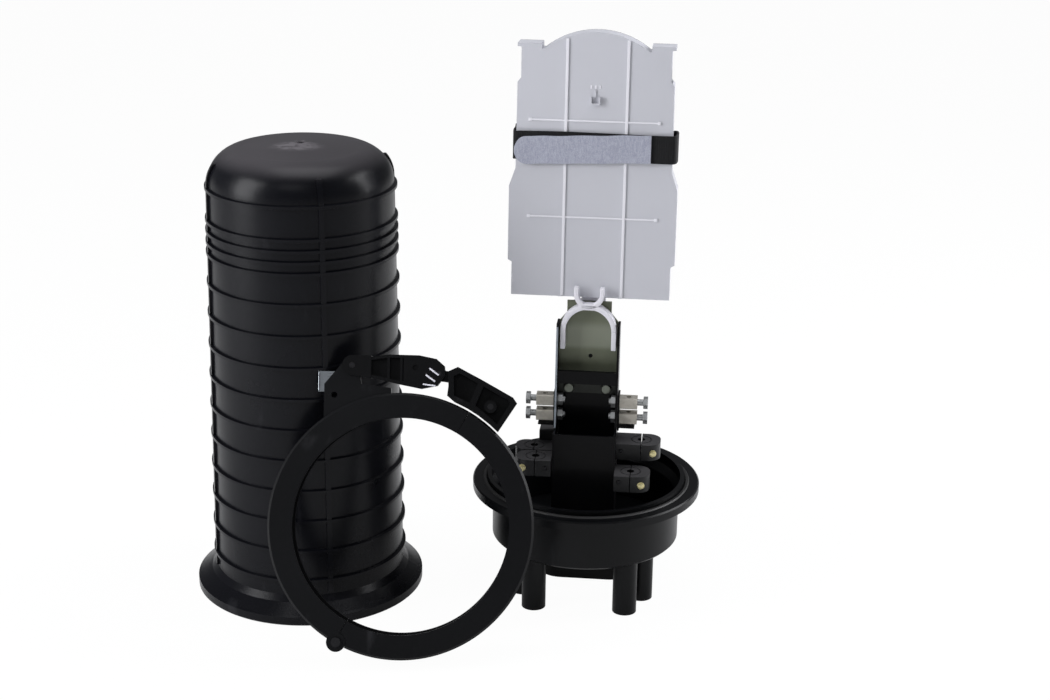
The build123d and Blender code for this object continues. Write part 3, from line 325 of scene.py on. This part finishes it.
marks = lay_down(joined("latch_paint_marks", strokes), ring_plane)
finish_with(mark_white, marks, "arm")


# Base housing. A black moulding with a bowl, an oval port for a looped cable and four round ports.
# Its flat rim takes the clamp ring and has a groove for the sealing ring.
base_black = moulded_black("base_black_moulding", (0.0022, 0.0024, 0.0028), gloss=0.26)
dress(base_black, "base_housing")


# Sealing ring. Soft black rubber that lies in the groove of the base's rim.
# It is pressed in by hand and keeps a little talc from its making.
seal_rubber = Look("seal_black_rubber", Specular_IOR_Level=0.3)
talc = seal_rubber.noise(300.0, detail=4.0).band(0.55, 0.8)
seal_rubber.feed("Base Color", seal_rubber.blend(talc * 0.3, (0.014, 0.014, 0.014), (0.08, 0.08, 0.08)))
seal_rubber.feed("Roughness", 0.5 + talc * 0.2)
seal_rubber.feed("Normal", seal_rubber.bump(seal_rubber.noise(1500.0), distance=0.00003, strength=0.5))
dress(seal_rubber, "sealing_ring")


# Inner frame. Folded steel sheet with a black powder coat and a crossbar, screwed to the bowl's floor.
# A second sheet closes its back up to a small fold, and the left side's front edge has a painted reflection.
frame_foot, frame_turn = (0.129, 0.03985, 0), radians(-5.5)
frame_place = Matrix.Translation(frame_foot) @ Matrix.Rotation(frame_turn, 4, "Z")
edge_middle, edge_slope = (-0.0276, -0.0253, 0.2105), atan2(10, 97)
sheet_width = 0.0529

coat_black = Look(
    "black_powder_coat", Coat_Weight=0.04, Coat_Roughness=0.08, IOR=1.45, Specular_IOR_Level=0.08
)
coat_cloud = coat_black.noise(30.0, detail=3.0)
coat_tone = coat_black.blend(coat_cloud, (0.0022, 0.0022, 0.0026), (0.004, 0.004, 0.0046))
coat_black.feed("Base Color", coat_tone)
coat_black.feed("Roughness", 0.26 + coat_cloud * 0.12)
coat_black.feed("Normal", coat_black.bump(coat_black.noise(700.0), distance=0.00004, strength=0.3))
dress(coat_black, "inner_frame", "crossbar")
screw_steel = plated_metal(
    "zinc_plated_screws", (0.36, 0.37, 0.37), rough=0.28, tarnish=(0.22, 0.215, 0.19), metal=0.65
)
dress(screw_steel, "foot_screws")

# Painted reflection: a thin pale bluish strip stands for the white room seen in the left side's face at a
# grazing angle.
edge_turn = Matrix.Translation(edge_middle) @ Matrix.Rotation(-edge_slope, 4, "X")
painted_reflection_strip = flat_bar("frame_left_painted_reflection_strip", centre=(0, 0, 0), size=(0.0017, 0.0005, 0.0940), bevel=0.0002)
painted_reflection_strip = lay_down(painted_reflection_strip, frame_place @ edge_turn)
reflection_strip_finish = plated_metal(
    "painted_reflection_finish", (0.3, 0.34, 0.38), rough=0.4, tarnish=(0.08, 0.09, 0.1), streak=(3, 3, 0.3), metal=0.3
)
finish_with(reflection_strip_finish, painted_reflection_strip, "root")

back_sheet = joined("frame_back_sheet", [
    flat_bar("sheet", centre=(0, -0.005, 0.1475), size=(sheet_width, 0.0019, 0.1690), bevel=0.0003),
    flat_bar("fold", centre=(0, -0.0031, 0.2311), size=(sheet_width, 0.0057, 0.0018), bevel=0.0003),
])
finish_with(coat_black, lay_down(back_sheet, frame_place), "root")


# Cable clamps. Small black nylon blocks, each split through its cable hole, with a painted pale highlight on
# their tops.
# Yellow passivated bolts at their outer ends pull the halves together, and dark screws sit in their fronts.
# One more block stands behind the left pair and shows over it.
bolt_places = ((-0.0540, -0.0594, 0.1360), (0.0530, -0.0594, 0.1240), (0.0618, -0.0313, 0.1440))
screw_places = ((-0.0335, -0.0606, 0.1365), (0.0330, -0.0605, 0.1265), (0.0330, -0.0330, 0.1455))
facing_front = Matrix.Rotation(pi / 2, 4, "Z")
block_place, block_size = (-0.0361, 0.0003, 0.1458), (0.0148, 0.0194, 0.0155)
tongue_place, tongue_size = (-0.0335, 0.0003, 0.1365), (0.0090, 0.0150, 0.0070)


def round_pin(name, centre, radius, length, bevel):
    """A round bar along X with eased ends, added at its size and place."""
    take()
    bpy.ops.mesh.primitive_cylinder_add(
        vertices=32, radius=radius, depth=length, location=centre, rotation=(0, pi / 2, 0)
    )
    pin = bpy.context.object
    pin.name = name
    ease_edges(bevel, 2)
    bpy.ops.object.shade_smooth_by_angle(angle=radians(30))
    return pin


clamp_black = Look("clamp_black_nylon", IOR=1.45, Specular_IOR_Level=0.3)
clamp_cloud = clamp_black.noise(70.0, detail=4.0)
facing = clamp_black.node("ShaderNodeNewGeometry", {}, {}, "Normal")
painted_top_light_mask = clamp_black.node("ShaderNodeSeparateXYZ", {}, {"Vector": facing}, "Z").band(0.6, 0.95)
clamp_tone = clamp_black.blend(clamp_cloud, (0.005, 0.0052, 0.0056), (0.009, 0.0092, 0.01))
# Painted highlight: faces that look upwards turn pale grey, as if lit from above, and are a little rougher.
painted_top_light_share = painted_top_light_mask * (0.55 + clamp_cloud * 0.5)
clamp_black.feed("Base Color", clamp_black.blend(painted_top_light_share, clamp_tone, (0.043, 0.042, 0.044)))
clamp_black.feed("Roughness", 0.34 + clamp_cloud * 0.1 + painted_top_light_mask * 0.12)
clamp_grain = clamp_black.noise(2400.0, detail=3.0)
clamp_black.feed("Normal", clamp_black.bump(clamp_grain, distance=0.00004, strength=0.5))
dress(clamp_black, *[name for name in nodes if name.startswith("cable_clamp")])

yellow_steel = plated_metal(
    "yellow_passivated_bolts", (0.62, 0.56, 0.3), rough=0.24, tarnish=(0.4, 0.36, 0.2), metal=0.7
)
bolt_parts = []
for bolt_place in bolt_places:
    turn = Matrix.Translation(bolt_place) @ facing_front
    head = round_pin("head", centre=(-0.0018, 0, 0), radius=0.0027, length=0.0030, bevel=0.0006)
    bolt_parts.append(lay_down(head, turn))
    collar = round_pin("collar", centre=(-0.0003, 0, 0), radius=0.0034, length=0.0010, bevel=0.0003)
    bolt_parts.append(lay_down(collar, turn))
    shank = round_pin("shank", centre=(0.0060, 0, 0), radius=0.0019, length=0.0140, bevel=0.0003)
    bolt_parts.append(lay_down(shank, turn))
bolts = lay_down(joined("clamp_end_bolts", bolt_parts), frame_place)
finish_with(yellow_steel, bolts, "root")
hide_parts("clamp_bolts")

screw_parts = []
for screw_place in screw_places:
    screw = round_pin("screw", centre=(0, 0, 0), radius=0.0019, length=0.0018, bevel=0.0005)
    screw_parts.append(lay_down(screw, Matrix.Translation(screw_place) @ facing_front))
face_screws = lay_down(joined("clamp_face_screws", screw_parts), frame_place)
finish_with(dark_steel, face_screws, "root")
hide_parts("clamp_pad_screws")

rear_block = joined("clamp_block_behind", [
    flat_bar("block", centre=block_place, size=block_size, bevel=0.0014, segments=3),
    flat_bar("tongue", centre=tongue_place, size=tongue_size, bevel=0.0008, segments=3),
])
finish_with(clamp_black, lay_down(rear_block, frame_place), "root")


# Strength-member clamps. Die-cast zinc blocks on pressed steel angles at the frame's sides.
# Plated hex screws and nuts go through each block, and the angles are coated black like the frame.
zinc_block = plated_metal(
    "cast_zinc_block", (0.5, 0.475, 0.42), rough=0.42, tarnish=(0.34, 0.32, 0.27), metal=0.55
)
dress(zinc_block, *[name for name in nodes if name.startswith("strength_clamp")])
dress(coat_black, "clamp_angle_left", "clamp_angle_right")
dress(screw_steel, "hex_screws", "hex_nuts")


# Support plate. A passivated steel plate, grey with an olive cast, between the frame's sides.
# Two dull pan-head screws hold it. Its foot has painted shade, and a band under the arch a painted
# highlight.
painted_foot_shade = (0.200, 0.222)
painted_highlight_from, painted_highlight_until = (0.232, 0.238), (0.252, 0.262)

plate_grey = Look("passivated_plate", Metallic=0.3, IOR=1.45)
plate_cloud = plate_grey.noise(40.0, detail=4.0)
plate_grain = plate_grey.noise(900.0, stretch=(1, 1, 0.1))
plate_height = plate_grey.height()
plate_tone = plate_grey.blend(plate_cloud, (0.105, 0.118, 0.078), (0.148, 0.16, 0.112))
# Painted shade: the plate turns nearly black towards its foot, below the crossbar, where the frame shades
# it.
plate_tone = plate_grey.blend(plate_height.band(*painted_foot_shade), (0.009, 0.011, 0.0075), plate_tone)
# Painted highlight: a paler band just under the arch.
painted_plate_highlight = plate_height.band(*painted_highlight_from) * (1 - plate_height.band(*painted_highlight_until))
plate_grey.feed("Base Color", plate_grey.blend(painted_plate_highlight * 0.35, plate_tone, (0.34, 0.36, 0.3)))
plate_grey.feed("Roughness", 0.36 + plate_grain * 0.2)
plate_grey.feed("Normal", plate_grey.bump(plate_grain, distance=0.00002, strength=0.4))
dress(plate_grey, "support_plate")
dull_steel = plated_metal("dull_pan_screws", (0.13, 0.14, 0.12), rough=0.3, tarnish=(0.06, 0.06, 0.05))
dress(dull_steel, "pan_screws")


# Tray holder. A white moulding that hooks on to the support plate: an arch over its top on two legs.
# A stem on the arch ends in a round cup with two prongs, which takes the tray carrier.
def moulded_white(name, tone, gloss):
    """White moulded plastic: faint clouds, a few grey specks and a fine grain."""
    look = Look(name, IOR=1.45)
    cloud = look.noise(12.0, detail=3.0)
    speck = look.noise(700.0, detail=3.0).band(0.7, 0.85)
    colour = look.blend(cloud, tone, tuple(t * 0.95 for t in tone))
    look.feed("Base Color", look.blend(speck * 0.12, colour, (0.5, 0.5, 0.5)))
    look.feed("Roughness", gloss + cloud * 0.12)
    look.feed("Normal", look.bump(look.noise(1800.0), distance=0.00002, strength=0.4))
    return look


def half_hoop(name, height, inner, outer, front, back, turn):
    """Half a hoop about a fore-and-aft axis, spun from its section. A turn of 1 is an arch and -1 a cup."""
    take()
    bpy.ops.mesh.primitive_plane_add(size=1.0, location=((inner + outer) / 2, (front + back) / 2, height))
    hoop = bpy.context.object
    hoop.name, hoop.scale = name, (outer - inner, back - front, 1.0)
    bpy.ops.object.transform_apply(location=True, rotation=False, scale=True)
    bpy.ops.object.mode_set(mode="EDIT")
    bpy.ops.mesh.select_all(action="SELECT")
    bpy.ops.mesh.spin(steps=28, angle=pi, center=(0.0, 0.0, height), axis=(0.0, turn, 0.0))
    bpy.ops.mesh.select_all(action="SELECT")
    bpy.ops.mesh.remove_doubles(threshold=0.00001)
    bpy.ops.mesh.normals_make_consistent(inside=False)
    bpy.ops.object.mode_set(mode="OBJECT")
    edge = hoop.modifiers.new("edge", "BEVEL")
    edge.width, edge.segments, edge.limit_method = 0.0005, 2, "ANGLE"
    bpy.ops.object.modifier_apply(modifier="edge")
    bpy.ops.object.shade_smooth_by_angle(angle=radians(30))
    return hoop


leg_x, prong_x, foot_x = 0.0230, 0.0116, 0.0240
holder_parts = [
    half_hoop("arch", height=0.2532, inner=0.0207, outer=0.0253, front=-0.0180, back=-0.0081, turn=1),
    half_hoop("cup", height=0.2878, inner=0.0096, outer=0.0136, front=-0.0180, back=-0.0112, turn=-1),
    flat_bar("stem", centre=(0, -0.0146, 0.2762), size=(0.0170, 0.0066, 0.0060), bevel=0.0008, segments=3),
]
for side in (-1, 1):
    leg_place, prong_place = (side * leg_x, -0.01305, 0.2446), (side * prong_x, -0.0146, 0.2908)
    foot_place = (side * foot_x, -0.0133, 0.2502)
    holder_parts += [
        flat_bar("leg", centre=leg_place, size=(0.0045, 0.0098, 0.0174), bevel=0.0006, segments=3),
        flat_bar("prong", centre=prong_place, size=(0.0039, 0.0067, 0.0066), bevel=0.0006, segments=3),
        flat_bar("foot", centre=foot_place, size=(0.0028, 0.0094, 0.0014), bevel=0.0005, segments=3),
    ]
holder = lay_down(joined("tray_holder_arch", holder_parts), frame_place)
holder_white = moulded_white("holder_white_moulding", (0.76, 0.75, 0.8), gloss=0.34)
finish_with(holder_white, holder, "root")
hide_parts("tray_holder")


# Tray hinge. A white moulded carrier behind the holder, with a sleeve for a plated steel rod with a head.
# Two moulded ears under the trays turn on the rod, and a beam joins them to the stack.
rod_y, rod_z = 0.008, 0.271
ear_x = 0.0118

carrier = joined("tray_carrier_block", [
    flat_bar("body", centre=(0, 0.0035, 0.2698), size=(0.0170, 0.0185, 0.0152), bevel=0.0018, segments=3),
    round_pin("sleeve", centre=(0, rod_y, rod_z), radius=0.0052, length=0.0188, bevel=0.0006),
])
finish_with(holder_white, lay_down(carrier, frame_place), "root")
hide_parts("tray_carrier")

hinge_rod = joined("tray_hinge_rod", [
    round_pin("rod", centre=(0, rod_y, rod_z), radius=0.0025, length=0.0300, bevel=0.0003),
    round_pin("head", centre=(-0.0150, rod_y, rod_z), radius=0.0036, length=0.0014, bevel=0.0004),
])
finish_with(screw_steel, lay_down(hinge_rod, frame_place), "root")
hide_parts("tray_rod")

ear_parts = []
for side in (-1, 1):
    ear_parts += [
        round_pin("ear", centre=(side * ear_x, rod_y, rod_z), radius=0.0050, length=0.0036, bevel=0.0004),
        flat_bar("arm", centre=(side * ear_x, 0.009, 0.2772), size=(0.0036, 0.0080, 0.0110), bevel=0.0005),
    ]
ear_parts.append(flat_bar("beam", centre=(0, 0.0135, 0.2822), size=(0.0280, 0.0205, 0.0020), bevel=0.0005))
hinge_ears = lay_down(joined("tray_hinge_ears", ear_parts), frame_place)
finish_with(holder_white, hinge_ears, "trays")
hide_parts("tray_hinge_bar")


# Splice trays. Three thin white ABS mouldings stacked one on the other, duller and bluer than the holder.
# The back of the front one has two upright ribs, two bars that end in dots, and three marks over its catch.
stack_foot, stack_lean = (0, -0.009, 0.283), radians(-4.0)
stack_place = frame_place @ Matrix.Translation(stack_foot) @ Matrix.Rotation(stack_lean, 4, "X")
mark_height, mark_places = 0.1885, (-0.0038, 0.0002, 0.0041)
rib_places, rib_size = (-0.0252, 0.0280), (0.0026, 0.00084, 0.2290)
bar_heights, bar_size = (0.0725, 0.1585), (0.1120, 0.00090, 0.0016)
dot_x, dot_size = 0.0565, (0.0030, 0.0012, 0.0030)

tray_white = moulded_white("tray_white_moulding", (0.525, 0.53, 0.57), gloss=0.42)
dress(tray_white, "splice_tray_front", "splice_tray_2", "splice_tray_3")

mark_parts = []
for x in mark_places:
    mark = flat_bar("mark", centre=(x, -0.00012, mark_height), size=(0.0014, 0.0004, 0.0030), bevel=0.00014)
    mark_parts.append(mark)
tray_marks = lay_down(joined("tray_moulded_marks", mark_parts), stack_place)
finish_with(holder_white, tray_marks, "trays")

rib_parts = [flat_bar("rib", centre=(x, -0.0006, 0.1153), size=rib_size, bevel=0.0003) for x in rib_places]
for height in bar_heights:
    rib_parts.append(flat_bar("bar", centre=(0, -0.0005, height), size=bar_size, bevel=0.0003))
    for x in (-dot_x, dot_x):
        dot = flat_bar("dot", centre=(x, -0.0005, height), size=dot_size, bevel=0.0005, segments=3)
        rib_parts.append(dot)
tray_ribs = lay_down(joined("tray_front_ribs", rib_parts), stack_place)
# Painted highlight: the ribs, bars and dots are of the tray's own moulding but take a paler white, as if
# they catch the light.
rib_painted_highlight = moulded_white("tray_rib_painted_highlight", (0.74, 0.735, 0.78), gloss=0.34)
finish_with(rib_painted_highlight, tray_ribs, "trays")


# Tray cover. A thin clear polystyrene lid that clips on to the stack's far side.
# It is moulded, and a faint haze dulls it in places.
cover_clear = Look("clear_tray_cover", Transmission_Weight=0.85, IOR=1.49)
cover_haze = cover_clear.noise(60.0, detail=3.0)
cover_clear.feed("Base Color", cover_clear.blend(cover_haze, (0.9, 0.92, 0.93), (0.84, 0.86, 0.88)))
cover_clear.feed("Roughness", 0.08 + cover_haze * 0.12)
dress(cover_clear, "tray_cover")


# Strap loop. Black loop pile webbing, 25 mm wide, pulled tight round the whole tray stack.
# It is woven, bends round the trays' edges, and runs a little higher at the back.
strap_width, strap_foot = 0.0247, 0.1236
loop_left, loop_right, loop_front, loop_back = -0.0711, 0.0722, -0.00175, 0.02645
loop_corner, loop_swell = 0.0036, 0.0010
back_points, back_rise = range(46, 75), 0.0022
loop_sway, sway_turn = 0.0005, 0.21
face_steps, end_steps, corner_steps, loop_steps = 24, 9, 6, 8


def loop_path():
    """Points round the stack, with rounded corners and ends that swell outwards a little."""
    width = loop_right - loop_left - 2 * loop_corner
    depth = loop_back - loop_front - 2 * loop_corner
    left, right = loop_left + loop_corner, loop_right - loop_corner
    front, back = loop_front + loop_corner, loop_back - loop_corner
    shares = [along / end_steps for along in range(1, end_steps)]

    def corner(x, y, start):
        turns = [radians(start + 90 * step / corner_steps) for step in range(1, corner_steps + 1)]
        return [(x + loop_corner * cos(turn), y + loop_corner * sin(turn)) for turn in turns]

    points = [(left + width * along / face_steps, loop_front) for along in range(face_steps + 1)]
    points += corner(right, front, -90)
    points += [(loop_right + loop_swell * sin(pi * share), front + depth * share) for share in shares]
    points += corner(right, back, 0)
    points += [(right - width * along / face_steps, loop_back) for along in range(1, face_steps + 1)]
    points += corner(left, back, 90)
    points += [(loop_left - loop_swell / 2 * sin(pi * share), back - depth * share) for share in shares]
    return points + corner(left, front, 180)


def ribbon(name, rows, closed, thick, soft):
    """Webbing from rows of points across its width, given its thickness and soft edges."""
    across = len(rows[0])
    faces = []
    for number in range(len(rows) if closed else len(rows) - 1):
        here, after = number * across, (number + 1) % len(rows) * across
        for step in range(across - 1):
            faces.append((here + step, after + step, after + step + 1, here + step + 1))
    mesh = bpy.data.meshes.new(name)
    mesh.from_pydata([point for row in rows for point in row], [], faces)
    band = bpy.data.objects.new(name, mesh)
    bpy.context.scene.collection.objects.link(band)
    take(band)
    bpy.ops.object.mode_set(mode="EDIT")
    bpy.ops.mesh.select_all(action="SELECT")
    bpy.ops.mesh.remove_doubles(threshold=0.00001)
    bpy.ops.mesh.normals_make_consistent(inside=False)
    bpy.ops.object.mode_set(mode="OBJECT")
    wall = band.modifiers.new("wall", "SOLIDIFY")
    wall.thickness, wall.offset = thick, 0.0
    edge = band.modifiers.new("edge", "BEVEL")
    edge.width, edge.segments, edge.limit_method = soft, 2, "ANGLE"
    smooth = band.modifiers.new("smooth", "SUBSURF")
    smooth.levels = smooth.render_levels = 1
    for modifier in ("wall", "edge", "smooth"):
        bpy.ops.object.modifier_apply(modifier=modifier)
    bpy.ops.object.shade_smooth()
    return band


def webbing_cloth(name, colour, dark, pile, depth, threads):
    """Woven webbing with a pile: fine crossing threads under a soft nap."""
    look = Look(name, Sheen_Weight=0.05, Specular_IOR_Level=0.2)
    weave = {"Vector": look.place(), "Scale": threads, "Distortion": 1.5}
    rows = look.node("ShaderNodeTexWave", {"bands_direction": "X"}, weave)
    nap = look.noise(pile, detail=4.0)
    fluff = look.noise(420.0, detail=3.0, stretch=(1.6, 1, 0.5))
    share = nap.band(0.35, 0.7) * 0.45 + fluff.band(0.3, 0.7) * 0.35 + rows * 0.2
    look.feed("Base Color", look.blend(share, dark, colour))
    look.feed("Roughness", 0.75 + nap * 0.2)
    look.feed("Normal", look.bump(nap + rows * 0.4, distance=depth, strength=0.8))
    return look


loop_rows = []
for number, (x, y) in enumerate(loop_path()):
    foot = strap_foot + loop_sway * sin(number * sway_turn) + (back_rise if number in back_points else 0.0)
    loop_rows.append([(x, y, foot + strap_width * step / loop_steps) for step in range(loop_steps + 1)])
strap_loop = ribbon("strap_black_loop", loop_rows, closed=True, thick=0.0014, soft=0.0003)
strap_loop = lay_down(strap_loop, stack_place)
loop_pile = webbing_cloth(
    "loop_pile_black", (0.012, 0.0125, 0.0135), dark=(0.005, 0.005, 0.0056),
    pile=1500.0, depth=0.0004, threads=160.0,
)
finish_with(loop_pile, strap_loop, "trays")
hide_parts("strap_loop")


# Strap hook end. A strip of white hook tape of the same width, cut round at its left end.
# It is pressed on to the front of the black loop and lies a little aslant.
hook_length, hook_left, hook_height = 0.1205, -0.0703, 0.1313
hook_front, hook_slope = -0.00325, 0.0374
round_length, end_half, hook_half = 0.0105, 0.0025, 0.01235
row_count, hook_steps = 42, 10
close_rows, closeness = 0.4, 1.35
close_share, open_pace = 0.2903, 1.18283

hook_rows = []
for number in range(row_count):
    reach = number / (row_count - 1)
    share = reach ** closeness if reach < close_rows else close_share + (reach - close_rows) * open_pace
    run = hook_length * share
    inset = max(0.0, round_length - run)
    half = max(end_half, hook_half * (1 - (inset / round_length) ** 2) ** 0.5)
    foot = hook_height + run * hook_slope + 0.0002 * sin(number * 0.6) - half
    front = hook_front - 0.00012 * sin(number * 0.5)
    heights = [foot + 2 * half * step / hook_steps for step in range(hook_steps + 1)]
    hook_rows.append([(hook_left + run, front, height) for height in heights])
strap_hook = ribbon("strap_white_hook_end", hook_rows, closed=False, thick=0.0016, soft=0.0002)
strap_hook = lay_down(strap_hook, stack_place)
hook_tape = webbing_cloth(
    "hook_tape_white", (0.45, 0.46, 0.53), dark=(0.25, 0.265, 0.335),
    pile=1300.0, depth=0.0002, threads=420.0,
)
finish_with(hook_tape, strap_hook, "trays")
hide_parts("strap_hook")


# Floor and backdrop. White paper lies under the set, and the room around it is white to the camera.
# Elsewhere the room gives little light, and gloss sees a third of the paper's white, so blacks stay deep.
take()
bpy.ops.mesh.primitive_plane_add(size=12.0, location=(0, 0, 0))
floor = bpy.context.object
floor.name = "studio_floor"
paper = Look("floor_paper")
rays = paper.node("ShaderNodeLightPath", {}, {}, "Is Camera Ray")
seen = rays.most(rays.part("Is Glossy Ray") * 0.35).most(rays.part("Is Transmission Ray"))
matt = paper.node("ShaderNodeBsdfDiffuse", {}, {"Color": (0.88, 0.88, 0.88)})
glow = paper.node("ShaderNodeEmission", {}, {"Color": (1.0, 1.0, 1.0), "Strength": 1.0})
paper.show(paper.node("ShaderNodeMixShader", {}, {0: seen * 0.97, 1: matt, 2: glow}))
floor.data.materials.append(paper.material)

bpy.context.scene.world = bpy.data.worlds.new("studio")
sky = Look("studio", bpy.context.scene.world)
rays = sky.node("ShaderNodeLightPath", {}, {}, "Is Camera Ray")
seen = rays.most(rays.part("Is Transmission Ray"))
fill = sky.node("ShaderNodeBackground", {}, {"Color": (0.95, 0.96, 1.0), "Strength": 0.17})
white = sky.node("ShaderNodeBackground", {}, {"Color": (1.0, 1.0, 1.0), "Strength": 1.0})
sky.show(sky.node("ShaderNodeMixShader", {}, {0: seen, 1: fill, 2: white}))


# Lamps. A tall soft box at each side makes the long highlights on the dome's edges.
# A wide one overhead lights the crown and the bowl, and a weak one in front lights the trays.
def soft_box(name, place, aim, width, height, watts):
    """A rectangular lamp that faces a point."""
    lamp = bpy.data.lights.new(name, "AREA")
    lamp.color = (0.97, 0.975, 1.0)
    lamp.shape, lamp.size, lamp.size_y, lamp.energy = "RECTANGLE", width, height, watts
    stand = bpy.data.objects.new(name, lamp)
    bpy.context.scene.collection.objects.link(stand)
    stand.location = place
    stand.rotation_mode = "QUATERNION"
    stand.rotation_quaternion = (Vector(place) - Vector(aim)).to_track_quat("Z", "Y")


soft_box("left_box", place=(-1.55, -0.6, 0.8), aim=(-0.1, 0, 0.2), width=0.8, height=1.5, watts=39.0)
soft_box("right_box", place=(1.55, 0.35, 0.9), aim=(0.1, 0, 0.2), width=0.8, height=1.5, watts=34.0)
soft_box("top_box", place=(0.0, 0.1, 1.9), aim=(0, 0, 0.1), width=1.2, height=1.0, watts=13.0)
soft_box("front_box", place=(-0.35, -1.8, 1.9), aim=(0.1, 0, 0.35), width=1.1, height=0.8, watts=4.0)


# Camera. It stands a little to the right of the middle, 1.6 m in front, and looks down at the set.
# Its place, pitch and lens were worked out from the photograph.
camera_place = (0.07075, -1.63765, 0.819)
camera_pitch, camera_roll = radians(90.0 - 19.38), 0.013
camera_data = bpy.data.cameras.new("camera")
camera_data.lens, camera_data.sensor_width = 67.0, 36.0
camera = bpy.data.objects.new("camera", camera_data)
bpy.context.scene.collection.objects.link(camera)
camera.matrix_world = (
    Matrix.Translation(camera_place)
    @ Matrix.Rotation(camera_pitch, 4, "X")
    @ Matrix.Rotation(camera_roll, 4, "Z")
)
bpy.context.scene.camera = camera
bpy.context.scene.view_settings.view_transform = "Standard"
